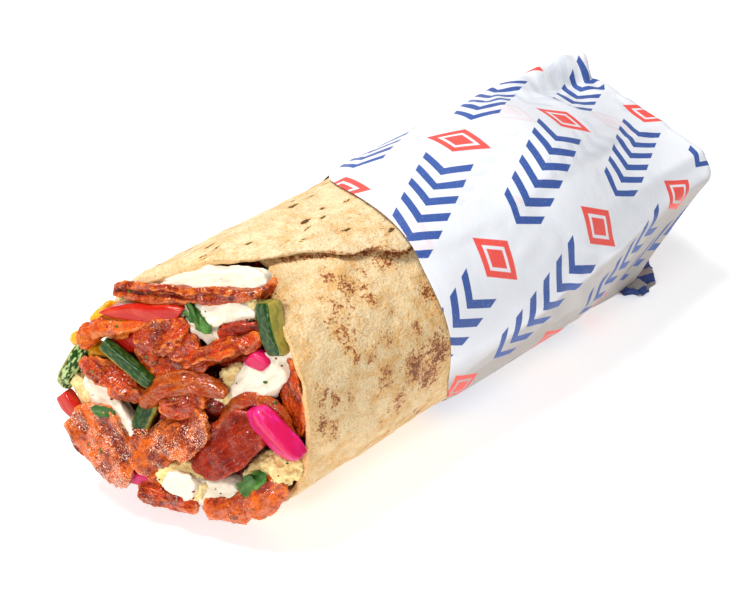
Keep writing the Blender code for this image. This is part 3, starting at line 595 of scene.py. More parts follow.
class Finish:
    """A procedural material, put together from a few kinds of node. Sizes are in millimetres."""

    def __init__(self, name, roughness=0.5, **sockets):
        self.material = bpy.data.materials.new(name)
        self.material.use_nodes = True
        self.tree = self.material.node_tree
        self.shader = self.tree.nodes["Principled BSDF"]
        self.shader.inputs["Roughness"].default_value = roughness
        for socket, value in sockets.items():
            self.shader.inputs[socket.replace("_", " ")].default_value = value

    def node(self, kind, inputs, **settings):
        """Add a node, and plug in or set each of its inputs."""
        made = self.tree.nodes.new("ShaderNode" + kind)
        for key, value in settings.items():
            setattr(made, key, value)
        for key, value in inputs.items():
            if isinstance(value, bpy.types.NodeSocket):
                self.tree.links.new(value, made.inputs[key])
            else:
                made.inputs[key].default_value = value
        return made

    def place(self, scale=(1.0, 1.0, 1.0)):
        """The object's own coordinates, in millimetres."""
        return self.mapped(self.node("TexCoord", {}).outputs["Object"], [s / MM for s in scale])

    def mapped(self, where, scale, turn=0.0, shift=(0.0, 0.0, 0.0)):
        """Coordinates, scaled, turned and shifted."""
        return self.node("Mapping", {"Vector": where, "Scale": scale, "Rotation": (0.0, 0.0, turn),
                                     "Location": shift}).outputs[0]

    def stored(self, name, field="Fac"):
        """A number, or three as a Vector, that each point of the mesh carries."""
        return self.node("Attribute", {}, attribute_name=name).outputs[field]

    def noise(self, where, size, detail=3.0, rough=0.55, bend=0.0):
        """Soft noise whose blots have about the given size."""
        return self.node("TexNoise", {"Vector": where, "Scale": 1.0 / size, "Detail": detail,
                                      "Roughness": rough, "Distortion": bend}).outputs[0]

    def cells(self, where, size):
        """How far a place is from the middle of its cell."""
        return self.node("TexVoronoi", {"Vector": where, "Scale": 1.0 / size}).outputs["Distance"]

    def ramp(self, value, low, high, start=0.0, stop=1.0):
        """A value's soft run from low to high, turned into one from start to stop."""
        return self.node("MapRange", {"Value": value, "From Min": low, "From Max": high,
                                      "To Min": start, "To Max": stop},
                         interpolation_type="SMOOTHSTEP").outputs[0]

    def above(self, value, edge, soft):
        """1 where a value is above an edge, else 0."""
        return self.ramp(value, edge - soft, edge + soft)

    def below(self, value, edge, soft):
        """1 where a value is below an edge, else 0."""
        return self.ramp(value, edge - soft, edge + soft, 1.0, 0.0)

    def sum(self, operation, one, other=0.0, third=0.0):
        """A sum of any kind on values."""
        return self.node("Math", {0: one, 1: other, 2: third}, operation=operation).outputs[0]

    def times(self, one, other):
        """One value times another."""
        return self.sum("MULTIPLY", one, other)

    def plus(self, one, other):
        """One value plus another."""
        return self.sum("ADD", one, other)

    def weigh(self, *shares):
        """Values, each times its share, added up."""
        total, *others = [self.times(value, share) for value, share in shares]
        for other in others:
            total = self.plus(total, other)
        return total

    def inverted(self, value):
        """One minus a value."""
        return self.sum("SUBTRACT", 1.0, value)

    def blend(self, share, one, other, mode="MIX"):
        """Mix two colours, each a socket or three numbers."""
        one, other = [c if isinstance(c, bpy.types.NodeSocket) else (*c, 1.0) for c in (one, other)]
        return self.node("Mix", {0: share, 6: one, 7: other}, data_type="RGBA",
                         blend_type=mode).outputs[2]

    def tinted(self, colour, other, value, low, high, share=1.0):
        """Blend in another colour where a value goes from low to high."""
        return self.blend(self.times(self.ramp(value, low, high), share), colour, other)

    def bump(self, *layers):
        """Fine relief from layers of height and depth in millimetres, each on top of the last."""
        normal = None
        for height, depth in layers:
            inputs = {"Height": height, "Distance": depth * MM, "Strength": 1.0}
            if normal:
                inputs["Normal"] = normal
            normal = self.node("Bump", inputs).outputs[0]
        return normal

    def wear(self, colour=None, normal=None, roughness=None, coat=None, film=None):
        """Plug the results into the shader and hand over the material."""
        for socket, value in (("Base Color", colour), ("Normal", normal), ("Roughness", roughness),
                              ("Coat Weight", coat), ("Coat Normal", film)):
            if value is not None:
                self.tree.links.new(value, self.shader.inputs[socket])
        return self.material


def bread_finish(looks):
    """Flatbread: cream to golden crumb, speckled toasted spots and long scorched blisters.

    The near flap has painted shade, and the band under the far flap's edge is partly toasted, partly
    painted shadow.
    """
    f = Finish("baked_flatbread", 0.72, Subsurface_Weight=0.06, Subsurface_Scale=1.5 * MM,
               Subsurface_Radius=(1.0, 0.6, 0.3), Specular_IOR_Level=0.35)
    where, drawn = f.place(), f.place((0.3, 1.0, 1.0))
    # The stored toasting also holds a painted shadow band under the far flap's edge
    toast, rim, far = f.stored("toast"), f.stored("rim"), f.stored("far")
    broad, patch = f.noise(where, 13.0), f.noise(where, 3.2, 4.0)
    grain, dust = f.noise(where, 0.75, 4.0, 0.6), f.noise(where, 0.30, 2.0)
    gold = f.ramp(f.weigh((broad, 0.5), (patch, 0.5)), 0.42, 0.62)
    gold = f.sum("MAXIMUM", gold, f.times(rim, 0.9))
    # Painted shade: the near flap is made evenly more golden and darker
    gold = f.weigh((gold, 0.50), (f.ramp(grain, 0.42, 0.66), 0.40), (f.inverted(far), 0.16))
    colour = f.blend(gold, looks.pale, looks.golden)
    tan = f.times(f.ramp(dust, 0.50, 0.68), f.ramp(patch, 0.35, 0.60, 0.15, 0.5))
    colour = f.blend(tan, colour, looks.toasted)
    wander = f.node("TexNoise", {"Vector": where, "Scale": 0.8}).outputs["Color"]
    bent = f.node("VectorMath", {0: where, 1: wander}, operation="ADD").outputs[0]
    blot, grit = f.noise(bent, 1.25, 4.0, 0.6), f.noise(where, 0.55, 4.0, 0.65)
    heat = f.weigh((toast, 0.36), (blot, 0.70), (grit, 0.70))
    brown = f.ramp(heat, 0.95, 0.99)
    colour = f.tinted(colour, looks.golden, f.weigh((toast, 1.0), (patch, 0.7)), 0.55, 1.15, 0.40)
    colour = f.blend(f.times(brown, 0.9), colour, looks.toasted)
    colour = f.tinted(colour, looks.scorched, heat, 1.03, 1.10, 0.75)
    dots = f.times(f.ramp(grit, 0.63, 0.70), f.ramp(patch, 0.44, 0.62, 0.2, 0.8))
    colour = f.blend(dots, colour, looks.toasted)
    streak = f.noise(drawn, 0.9, 3.0, 0.6, 0.5)
    marks = f.weigh((f.stored("marks"), 0.5), (streak, 0.8))
    colour = f.tinted(colour, looks.golden, marks, 0.56, 0.72, 0.7)
    faint = f.times(f.ramp(f.noise(drawn, 1.1, 4.0), 0.60, 0.68), f.times(far, 0.5))
    colour = f.blend(faint, colour, looks.toasted)
    colour = f.tinted(colour, looks.burnt, marks, 0.74, 0.79, 0.9)
    normal = f.bump((f.noise(where, 3.0), 0.5), (grain, 0.22), (dust, 0.08), (streak, 0.25))
    return f.wear(colour, normal, f.ramp(brown, 0.0, 1.0, 0.78, 0.55))


def bread_sheet(along, around):
    """A point of the bread's outer face: it rolls once round and on under its own outer edge."""
    turn = BREAD_TURNS * around
    ragged = 0.55 * noise.noise(Vector((turn * 0.16, 3.0, 0.0)))
    rim = curve_at(BREAD_RIM, turn) + ragged
    shown = 0.86
    near = along / shown
    reach = 0.52 * near ** 1.3 if along < shown else 0.52 + 0.48 * (along - shown) / (1.0 - shown)
    x = rim + (BREAD_END_X - rim) * reach
    torn = (0.8 * noise.noise(Vector((x * 0.16, 7.0, 0.0)))
            + 0.2 * noise.noise(Vector((x * 0.6, 9.0, 0.0))))
    angle = seam_angle(x) + turn + 2.6 * torn * (1.0 - smooth(turn / 8.0))
    under = smooth((turn - 312.0) / 42.0) * (BREAD_T + LAYER_GAP)
    lip = 0.5 * (1.0 - smooth(turn / 9.0))
    bare = 1.0 - smooth((x - 28.0) / 12.0)
    wave = noise.noise(Vector((x * 0.035, math.sin(math.radians(angle)), turn * 0.01)))
    bulge = bare * 0.6 * (1.0 + wave)
    curl = LIP_CURL * smooth((turn - 4.0) / 14.0) * (1.0 - smooth((turn - 75.0) / 50.0))
    lip += curl * (1.0 - smooth((x - rim) / LIP_DEPTH)) ** 1.5
    px, y, z = wrap_point(angle, x, BREAD_INSET + under + lip - bulge)
    return stand(px, y, max(z, TABLE_GAP)), (x, angle, turn)


def far_marks(roll):
    """How near each point of the bread lies to a scorched mark of the far flap."""
    x, angle, turn = roll[:, 0], roll[:, 1], roll[:, 2]
    near = np.zeros(len(x))
    draw = random.Random(4)
    for mark_x, mark_angle in FAR_MARKS:
        long, wide = draw.uniform(1.5, 3.2), draw.uniform(0.7, 1.1)
        lean = draw.uniform(-0.25, 0.25)
        around = (angle - mark_angle + 180.0) % 360.0 - 180.0
        across = np.radians(around) * BREAD_R - lean * (x - mark_x)
        near = np.maximum(near, np.exp(-((x - mark_x) / long) ** 2 - (across / wide) ** 2))
    return near * (turn < 180.0)


def toasting(roll):
    """How toasted each point of the bread is, its spots scattered on the sides that don't show.

    A band just under the far flap's edge is partly toasting, partly painted shadow.
    """
    x, angle, turn = roll[:, 0], roll[:, 1], roll[:, 2]
    draw = random.Random(11)
    spots = list(TOAST_SPOTS)
    for _ in range(HIDDEN_SPOTS):
        spots.append((draw.uniform(-10, 60), draw.uniform(125, 345), draw.uniform(1.6, 4.6),
                      draw.uniform(0.4, 0.95)))
    for _ in range(SMALL_SPOTS):
        spots.append((draw.uniform(-2, 48), draw.uniform(-28, 78), draw.uniform(0.9, 2.0),
                      draw.uniform(0.5, 0.8)))
    toast = np.zeros(len(x))
    for spot_x, spot_angle, size, strength in spots:
        around = (angle - spot_angle + 180.0) % 360.0 - 180.0
        apart = (x - spot_x) ** 2 + (0.75 * np.radians(around) * BREAD_R) ** 2
        toast = np.maximum(toast, strength * np.exp(-apart / (1.25 * size) ** 2))
    # Partly toasting, partly painted shadow: a brown band on the layer just under the far flap's edge
    band = np.exp(-((turn - 361.0) / 3.4) ** 2) * np.clip((x - 12.0) / 6.0, 0.0, 1.0)
    edge = np.exp(-(turn / 0.9) ** 2) * (0.4 + 0.4 * np.clip((x - 26.0) / 10.0, 0.0, 1.0))
    return np.maximum(np.maximum(toast, 0.9 * band), edge)


class KEBAB_OT_bread(bpy.types.Operator):
    """Roll the baked flatbread round the filling"""
    bl_idname = "kebab.bread"
    bl_label = "Flatbread"

    def execute(self, context):
        looks = context.scene.kebab_bread
        piece = grid_sheet("flatbread_baked", (64, 168), bread_sheet)
        roll = values_of(piece, "roll")
        thin = piece.vertex_groups.new(name="thickness")
        rims = np.array([curve_at(BREAD_RIM, t) for t in roll[:, 2]])
        in_from_rim = roll[:, 0] - rims
        for index, (depth, turn) in enumerate(zip(in_from_rim, roll[:, 2])):
            folded = smooth((turn - 6.0) / 16.0) * (1.0 - smooth((turn - 70.0) / 40.0))
            edge = min(1.0, 0.62 + 0.38 * folded + 0.06 * max(depth, 0.0), 0.42 + turn / 26.0,
                       0.5 + (BREAD_TURNS - turn) / 30.0)
            thin.add([index], edge, "REPLACE")
        applied(piece, "SOLIDIFY", thickness=BREAD_T * MM, offset=-1.0, vertex_group="thickness")
        rounded_off(piece)
        piece.vertex_groups.clear()
        relief(piece, "CLOUDS", 7.0, 1.4 * looks.blister / MM, seed=2.0)
        relief(piece, "CLOUDS", 2.2, 0.35 * looks.blister / MM, stretch=(1.8, 1.0, 1.0), seed=5.0)
        roll = values_of(piece, "roll")
        keep_values(piece, "toast", toasting(roll))
        keep_values(piece, "marks", far_marks(roll))
        rims = np.array([curve_at(BREAD_RIM, t) for t in roll[:, 2]])
        keep_values(piece, "rim", np.clip(1.0 - (roll[:, 0] - rims) / 5.0, 0.0, 1.0))
        keep_values(piece, "far", np.clip((160.0 - roll[:, 2]) / 40.0, 0.0, 1.0))
        finished(piece, bread_finish(looks), "bread", "flatbread")
        return {"FINISHED"}


def print_masks(f, where, pitch):
    """Where the paper's print is blue and where it is red: chevrons and diamonds in staggered rows."""
    row_pitch = ROW_SHARE * pitch
    split = f.node("SeparateXYZ", {0: where})
    u, v = split.outputs[0], split.outputs[1]
    row = f.sum("FLOOR", f.sum("DIVIDE", v, row_pitch))
    odd = f.sum("MULTIPLY", f.sum("PINGPONG", row, 1.0), 0.5 * pitch)
    u = f.sum("SUBTRACT", f.sum("WRAP", f.plus(u, odd), pitch, 0.0), 0.5 * pitch)
    v = f.sum("SUBTRACT", f.sum("WRAP", v, row_pitch, 0.0), 0.5 * row_pitch)
    tall = f.sum("ABSOLUTE", v)
    chevron = f.sum("SUBTRACT", u, f.times(tall, BAR_SLOPE))
    bars = f.sum("WRAP", f.plus(chevron, 100.0), BAR_STEP, 0.0)
    blue = f.times(f.below(bars, BAR_WIDTH, INK_EDGE), f.below(tall, BAR_REACH, INK_EDGE))
    blue = f.times(blue, f.above(chevron, CHEVRONS_FROM, INK_EDGE))
    blue = f.times(blue, f.below(chevron, CHEVRONS_TO, INK_EDGE))
    across = f.sum("ABSOLUTE", f.sum("SUBTRACT", u, DIAMOND_AT))
    diamond = f.plus(f.sum("DIVIDE", across, DIAMOND_LONG), f.sum("DIVIDE", tall, DIAMOND_TALL))
    ring = f.times(f.above(diamond, RING_INSIDE, DIAMOND_EDGE),
                   f.below(diamond, RING_OUTSIDE, DIAMOND_EDGE))
    return blue, f.times(f.below(diamond, 1.0, DIAMOND_EDGE), f.inverted(ring))


def paper_finish(looks):
    """Thin white paper with a blue and red print, the layer below it showing through faintly.

    Its underside is given painted shade.
    """
    f = Finish("printed_paper", 0.5, Specular_IOR_Level=0.4, Subsurface_Weight=0.05,
               Subsurface_Scale=1.0 * MM)
    sheet = f.stored("roll", "Vector")
    pitch = looks.pitch / MM
    slant = f.mapped(sheet, (1.0, 1.0, 0.0), math.radians(-28.0), (7.0, 3.0, 0.0))
    ghost_slant = f.mapped(sheet, (1.0, -1.0, 0.0), math.radians(18.0), (19.0, 9.0, 0.0))
    blue, red = print_masks(f, slant, pitch)
    ghost_blue, ghost_red = print_masks(f, ghost_slant, pitch)
    layered = f.stored("layered")
    where = f.place()
    worn = f.noise(where, 0.5)
    # Painted shade: the paper's underside is blended towards the darker colour
    colour = f.blend(f.stored("under"), looks.white, looks.under)
    colour = f.blend(f.times(f.times(ghost_blue, layered), 0.10), colour, looks.blue)
    colour = f.blend(f.times(f.times(ghost_red, layered), 0.12), colour, looks.red)
    ink = f.ramp(worn, 0.25, 0.45, 0.86, 1.0)
    colour = f.blend(f.times(blue, ink), colour, looks.blue)
    colour = f.blend(f.times(red, ink), colour, looks.red)
    return f.wear(colour, f.bump((f.noise(where, 9.0), 0.5), (worn, 0.02)))


def sleeve_sheet(along, around):
    """A point of the sleeve's outer face; the last steps gather it in pleats over the folded end."""
    angle = 360.0 * around - 90.0
    shut = 0.86
    walls = min(along / shut, 1.0)
    closing = max(along - shut, 0.0) / (1.0 - shut)
    front = curve_at(PAPER_FRONT, angle % 360.0) + 0.4 * math.sin(math.radians(angle * 7.0))
    x = front + (PAPER_END_X - front) * walls
    behind = smooth((angle % 360.0 - 80.0) / 30.0) * (1.0 - smooth((angle % 360.0 - 250.0) / 30.0))
    snug = (0.55 + 0.20 * behind) * (1.0 - smooth((x - front) / 5.0))
    arc = math.radians(angle) * SLEEVE_R
    sheet_x = x + 24.0 * closing
    px, y, z = wrap_point(angle, x, snug)
    crumple = smooth((walls - 0.35) / 0.4) * math.sin(math.radians(angle)) ** 2
    if z > 8.0:
        z += 1.2 * noise.noise(Vector((px * 0.045, y * 0.06, z * 0.06))) * crumple + 0.4 * crumple
        ear = smooth((walls - 0.82) / 0.18) * smooth((y + 4.0) / 20.0) * smooth((z - 30.0) / 14.0)
        z += 3.0 * ear * noise.noise(Vector((px * 0.16, y * 0.20, 1.0)))
        y += 2.0 * ear * noise.noise(Vector((px * 0.20, z * 0.24, 5.0)))
    point = Vector((px, y, z)).lerp(Vector(PAPER_END_MIDDLE), closing)
    if closing > 0.0:
        wander = 0.4 * noise.noise(Vector((angle * 0.02, 0.0, 0.0)))
        pleat = abs((angle / 24.0 + wander) % 1.0 - 0.5) * 2.0
        point.x += (pleat - 0.6) * 3.2 * math.sin(math.pi * min(closing * 1.2, 1.0)) - closing
    return stand(*point), (sheet_x, arc, closing)


def creases(roll):
    """Straight creases in the paper: ridges and dents that fade at their ends, in millimetres."""
    draw = random.Random(5)
    u, v = roll[:, 0], roll[:, 1]
    rise = np.zeros(len(u))
    for _ in range(CREASES):
        middle = draw.uniform(50.0, 165.0), draw.uniform(0.0, 2 * math.pi * SLEEVE_R)
        lie = draw.choice((0.35, -0.5, 0.9, -1.1, 1.5, 0.1)) + draw.uniform(-0.2, 0.2)
        long, wide = draw.uniform(6.0, 26.0), draw.uniform(1.2, 4.5)
        depth = draw.uniform(-0.6, 0.6) * min(1.0, 0.25 + max(middle[0] - 60.0, 0.0) / 60.0)
        across = v - middle[1]
        across = (across + math.pi * SLEEVE_R) % (2 * math.pi * SLEEVE_R) - math.pi * SLEEVE_R
        run = (u - middle[0]) * math.cos(lie) + across * math.sin(lie)
        aside = -(u - middle[0]) * math.sin(lie) + across * math.cos(lie)
        ridge = np.clip(1.0 - np.abs(aside) / wide, 0.0, 1.0)
        rise += depth * ridge * np.clip(1.0 - (run / long) ** 2, 0.0, 1.0)
    return rise


class KEBAB_OT_paper(bpy.types.Operator):
    """Wrap the printed paper sleeve round the bread"""
    bl_idname = "kebab.paper"
    bl_label = "Paper sleeve"

    def execute(self, context):
        looks = context.scene.kebab_paper
        piece = grid_sheet("paper_sleeve_printed", (76, 116), sleeve_sheet)
        merge_doubles(piece, outwards=True)
        roll = values_of(piece, "roll")
        spots, facing = points_of(piece), normals_of(piece)
        step = smoothed((roll[:, 1] - overlap_arc(roll[:, 0])) / 1.6) * (roll[:, 1] < 150.0)
        rise = creases(roll) * looks.crease / MM + step * looks.overlap / MM
        ridge = np.clip(1.0 - np.abs(roll[:, 1] - lower_crease(roll[:, 0])) / 5.0, 0.0, 1.0)
        rise += 0.9 * ridge * smoothed((roll[:, 0] - 56.0) / 30.0)
        rise = np.where(spots[:, 2] < 2.0 * MM, 0.0, rise)
        set_points(piece, spots + facing * rise[:, None] * MM)
        keep_values(piece, "layered", step)
        applied(piece, "SOLIDIFY", thickness=looks.thickness, offset=-1.0)
        rounded_off(piece)
        roll, facing = values_of(piece, "roll"), normals_of(piece)
        # Painted shade where the paper lies below its lower crease or faces down
        below = smoothed((lower_crease(roll[:, 0]) - roll[:, 1]) / 2.5) * (roll[:, 1] > -50.0)
        down = np.clip((-facing[:, 2] - 0.02) / 0.3, 0.0, 1.0)
        keep_values(piece, "under", np.maximum(0.8 * below, down))
        finish = paper_finish(looks)
        finished(piece, finish, "paper", "paper_sleeve")
        tail = grid_sheet("paper_tail", (30, 18), tail_sheet)
        applied(tail, "SOLIDIFY", thickness=looks.thickness, offset=0.0)
        rounded_off(tail)
        # Painted shade on the tail, which lies under the sleeve
        keep_values(tail, "under", np.full(len(tail.data.vertices), 0.75))
        finished(tail, finish, "paper")
        return {"FINISHED"}


def tail_sheet(along, around):
    """A point of the crumpled end of paper that sticks out under the rear of the sleeve."""
    x = TAIL_START + TAIL_LENGTH * along
    wave = noise.noise(Vector((along * 7.0, 4.0, 0.0)))
    out = around * (3.0 + 6.5 * math.sin(math.pi * along) + 1.6 * wave)
    fold = (noise.noise(Vector((along * 5.0, around * 2.6, 6.0)))
            - 0.6 * abs(noise.noise(Vector((along * 11.0, around * 5.0, 2.0)))))
    rise = 3.4 - 2.0 * around + 3.4 * fold * around
    return stand(x + 1.5 * fold, -14.5 - out, max(rise, 0.7)), (x, -46.0 - out, 0.0)


def lower_crease(x):
    """The crease above the paper's shaded underside, as an arc from the near side."""
    angle = np.interp(x, (48.0, 67.0, 90.0, 107.0, 123.0, 150.0), (-12.0, -5.0, 3.0, 5.0, 8.0, 10.0))
    return np.radians(angle) * SLEEVE_R


def smoothed(values):
    """0 to 1 with a soft start and stop, for many numbers at once."""
    values = np.clip(values, 0.0, 1.0)
    return values * values * (3.0 - 2.0 * values)


def overlap_arc(x):
    """Where the upper layer of the paper ends, as an arc from the near side."""
    return np.radians(np.interp(x, (50.0, 75.0, 119.0), (49.0, 45.0, 53.0))) * SLEEVE_R


# Filling

def flesh_finish(name, deep, warm, bright, looks, charred=0.5, grain=1.0, wet=0.85, glints=0.35,
                 oiled=0.0, mottled=1.0, char=None):
    """Marinated meat or onion: mottled, with drawn-out grain, grilled specks and painted glints of oil.

    Other arguments say how much it is charred and wet, how many painted glints it carries, how mottled
    it is, and how much of it glints, the painted glints gathered in patches. Its colour also holds a
    painted highlight on the ridges and painted shade in the creases.
    """
    f = Finish(name, 0.42, Subsurface_Weight=0.04, Subsurface_Scale=1.2 * MM,
               Subsurface_Radius=(1.0, 0.35, 0.15), Coat_Roughness=0.08, Specular_IOR_Level=0.10)
    where, height = f.stored("grain", "Vector"), f.stored("height")
    fibre = f.noise(f.mapped(where, (0.22, 1.0, 1.0)), 0.8, 4.0, 0.6, 0.3)
    fine = f.noise(where, 0.5, 3.0, 0.6)
    colour = f.blend(f.ramp(f.noise(where, 6.0), 0.38, 0.60), deep, warm)
    colour = f.tinted(colour, bright, fibre, 0.48, 0.72, 0.55)
    # Painted highlight on the ridges and painted shade in the creases, from how far each point stands
    # out
    colour = f.tinted(colour, bright, height, 0.05, 0.50, 0.85)
    colour = f.tinted(colour, scaled(deep, 0.6), height, -0.02, -0.45, 0.85)
    colour = f.tinted(colour, deep, fibre, 0.46, 0.30, 0.4)
    colour = f.tinted(colour, bright, fine, 0.52, 0.68, 0.45 * mottled)
    colour = f.tinted(colour, scaled(deep, 0.55), fine, 0.46, 0.32, 0.65 * mottled)
    grilled = f.weigh((f.noise(where, 2.0, 5.0, 0.65), 1.0), (f.noise(where, 9.0, 2.0), 0.35))
    colour = f.tinted(colour, char or looks.char, grilled, 0.76, 0.84, charred)
    # Painted glints: dots of the glint colour, in patches and along the ridges, stand in for light
    # caught by oil
    speck = f.weigh((f.cells(where, 0.38), 1.0), (f.noise(where, 0.25, 2.0), 0.5))
    moist = f.weigh((f.noise(where, 3.4 + 2.0 * oiled), 1.0), (fine, 0.35))
    glint = f.times(f.ramp(speck, 0.52 + 0.10 * oiled, 0.43 + 0.10 * oiled),
                    f.ramp(moist, 0.66 - 0.03 * oiled, 0.76 - 0.05 * oiled))
    crest = f.times(f.ramp(speck, 0.50, 0.42), f.ramp(height, 0.10, 0.40))
    colour = f.blend(f.weigh((glint, glints), (crest, 0.35)), colour, looks.glint)
    oily = f.weigh((f.noise(where, 3.4), 1.0), (fine, 0.35))
    oil = f.sum("MAXIMUM", f.ramp(oily, 0.57, 0.74), f.times(f.ramp(height, 0.05, 0.35), 0.8))
    normal = f.bump((fibre, 0.25 * grain), (f.cells(where, 0.62), -0.26 * grain))
    film = f.bump((f.noise(where, 1.5, 2.0), 0.34))
    roughness = f.ramp(fine, 0.35, 0.65, 0.30, 0.5)
    return f.wear(colour, normal, roughness, f.plus(f.times(oil, wet), 0.04 * wet), film)


def morsel(node, ending, finish, slot, voxel, swell, soft=2, lumps=(4.0, 1.6), fibre=(1.3, 0.7),
           crumb=(0.9, 0.3), seed=0.0, slabs=(), along=None, rounds=10):
    """A piece of the filling: the part's plain solid, joined by torn slices, uneven and grained.

    lumps, fibre and crumb are each a relief's size and height. along says how the grain runs.
    """
    piece = bpy.data.objects.new(node + ending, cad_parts[node].data.copy())
    bpy.context.scene.collection.objects.link(piece)
    merge_doubles(piece)
    axes = long_axes(piece)
    if along is not None:
        turned = Matrix(mouth_turn(*along)).transposed().to_4x4()
        turned.translation = axes.translation
        axes = turned
    applied(piece, "REMESH", mode="VOXEL", voxel_size=voxel)
    if swell:
        applied(piece, "DISPLACE", strength=swell, mid_level=0.0)
    if slabs:
        extra = [form(seed=seed + 2.0 * number) for number, form in enumerate(slabs)]
        joined(piece, extra)
        applied(piece, "REMESH", mode="VOXEL", voxel_size=voxel)
    applied(piece, "SMOOTH", factor=0.5, iterations=soft)
    if lumps[1]:
        relief(piece, "CLOUDS", lumps[0], lumps[1], axes=axes, seed=seed)
    if fibre[1]:
        relief(piece, "VORONOI", fibre[0], -fibre[1], stretch=(4.5, 1.0, 1.0), axes=axes,
               seed=seed + 3)
    if crumb[1]:
        relief(piece, "CLOUDS", crumb[0], crumb[1], axes=axes, seed=seed + 6)
    spots = points_of(piece)
    spots[:, 2] = np.maximum(spots[:, 2], TABLE_GAP * MM)
    set_points(piece, spots)
    # How far each point stands out; some finishes paint highlights on the ridges and shade in the
    # hollows from it
    keep_values(piece, "height", standing_out(piece, rounds))
    inverse = np.array(axes.inverted())
    local = spots @ inverse[:3, :3].T + inverse[:3, 3]
    keep_values(piece, "grain", local / MM + seed * 17.0)
    return finished(piece, finish, slot, node)


def nodes_named(start):
    """The part's nodes whose names start alike."""
    return sorted(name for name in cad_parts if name.startswith(start))


class KEBAB_OT_filling(bpy.types.Operator):
    """Pack the filling that runs through the wrap"""
    bl_idname = "kebab.filling"
    bl_label = "Packed filling"

    def execute(self, context):
        looks = context.scene.kebab_filling
        # Its own colour is meat; it is made much darker still, as painted shade for the gaps between the
        # pieces
        finish = flesh_finish("packed_filling", scaled(looks.deep, 0.35), looks.deep, looks.warm,
                              looks)
        morsel("packed_filling", "_sauced", finish, "filling", 1.0 * MM, 0.0, lumps=(6.0, 2.4),
               fibre=(2.0, 1.0))
        return {"FINISHED"}


# Each piece of meat: its finish, the run of its grain (turn and tip) and the torn slices that shape it.
# A slice says where it lies on the mouth (right, up, lift), its turn, and its length, width, thickness.
MEAT_CUTS = {
    "meat_top_strip": ("crisp", (-3, 14), (
        cut((-2.4, 26.8, 3.0), -3, (42, 5.4, 1.9), tip=62, wave=1.5, ragged=1.6, curve=0.8,
            steps=(60, 14)),
        cut((18.0, 27.4, 2.6), 36, (8.0, 2.8, 1.6), tip=40, curve=-1.4, wave=0.4))),
    "meat_upper_dark_strip": ("deep", (4, 0), (
        cut((11.8, 17.0, 3.6), 7, (13, 5.0, 2.0), tip=10, wave=1.4, ragged=1.2),)),
    "meat_lumpy_chunk": ("roast", (-4, -14), (
        cut((-8.6, 15.6, 5.4), 6, (15, 8.5, 2.6), tip=-18, wave=2.2, cup=-1.6, ragged=1.6),
        cut((-3.4, 12.6, 4.8), -30, (11, 7, 2.4), tip=-10, wave=1.8, ragged=1.4),
        cut((-12.0, 10.2, 4.4), -60, (8, 5.5, 2.2), wave=1.0, cup=1.4))),
    "meat_long_strip": ("roast", (16, -12), (
        cut((4.6, 11.6, 4.6), 17, (29, 5.4, 2.6), tip=-30, wave=1.6, curve=-1.2, arch=1.0,
            ragged=1.2, steps=(44, 14)),
        cut((-4.6, 7.6, 4.4), 8, (17, 6.0, 2.2), tip=-2, wave=1.4, ragged=1.2))),
    "meat_left_strip": ("roast", (-29, -14), (
        cut((-24.0, 5.4, 3.8), -26, (16, 6.6, 2.2), tip=-24, wave=1.6, arch=1.0, ragged=1.4),
        cut((-18.4, 0.6, 4.2), -16, (10, 5.0, 2.2), tip=20, wave=1.2, arch=-1.4))),
    "meat_pepper_side_strip": ("amber", (12, -20), (
        cut((-21.0, 17.8, 4.2), 8, (20, 5.2, 2.0), tip=-34, wave=1.2, curve=0.8, groove=0.3,
            ragged=1.2),
        cut((-28.4, 15.4, 3.4), 44, (7, 5.0, 2.0), tip=10, wave=1.0, cup=1.6))),
    "meat_centre_slice": ("glazed", (36, -10), (
        cut((-3.6, -9.4, 5.2), 34, (18, 11.5, 2.0), tip=-16, wave=1.8, cup=1.2, lip=-1.2,
            ragged=1.2),
        cut((-11.6, -15.4, 4.6), 46, (15, 10.0, 2.0), tip=-4, wave=1.6, cup=1.6, ragged=1.2))),
    "meat_smooth_slice": ("deep", (36, -16), (
        cut((8.0, -12.2, 5.0), 36, (24, 13.6, 2.2), tip=-16, wave=0.9, cup=1.2, lip=1.4,
            ragged=1.0, steps=(40, 26)),)),
    "meat_left_slice": ("glazed", (-60, 14), (
        cut((-25.4, -13.4, 3.8), -60, (24, 17.5, 1.8), tip=12, wave=1.5, cup=0.8, taper=0.3,
            ragged=1.4, steps=(42, 32)),
        cut((-17.6, -9.8, 3.4), -40, (10, 7.0, 1.8), tip=-24, wave=1.2, cup=1.0))),
    "meat_small_chunk": ("roast", (6, 0), (
        cut((-3.6, -1.6, 4.6), 10, (13, 7.0, 2.4), tip=-6, wave=2.0, cup=1.4, ragged=1.6),)),
    "meat_dark_strip": ("dark", (18, 0), (
        cut((-1.0, -4.0, 1.6), 18, (20, 6.0, 2.0), wave=1.6),)),
    "meat_bottom_right_strip": ("golden", (29, 0), (
        cut((7.6, -29.4, 3.0), -8, (14, 6.6, 2.2), wave=1.6, cup=1.0, ragged=1.8),
        cut((18.0, -25.0, 3.4), 44, (15, 8.0, 2.4), wave=1.4, cup=1.8, ragged=1.4))),
    "meat_bottom_slice": ("roast", (-10, 0), (
        cut((-8.0, -26.0, 2.8), -12, (18, 7.6, 2.0), wave=1.8, cup=1.0, ragged=1.8),)),
    "meat_rim_slice": ("roast", (-88, 30), (
        cut((25.2, 0.4, 2.6), -84, (21, 8.0, 2.2), tip=24, wave=0.8, taper=-0.2, ragged=0.8),)),
    "meat_under_strip": ("dark", (12, 0), ()),
}


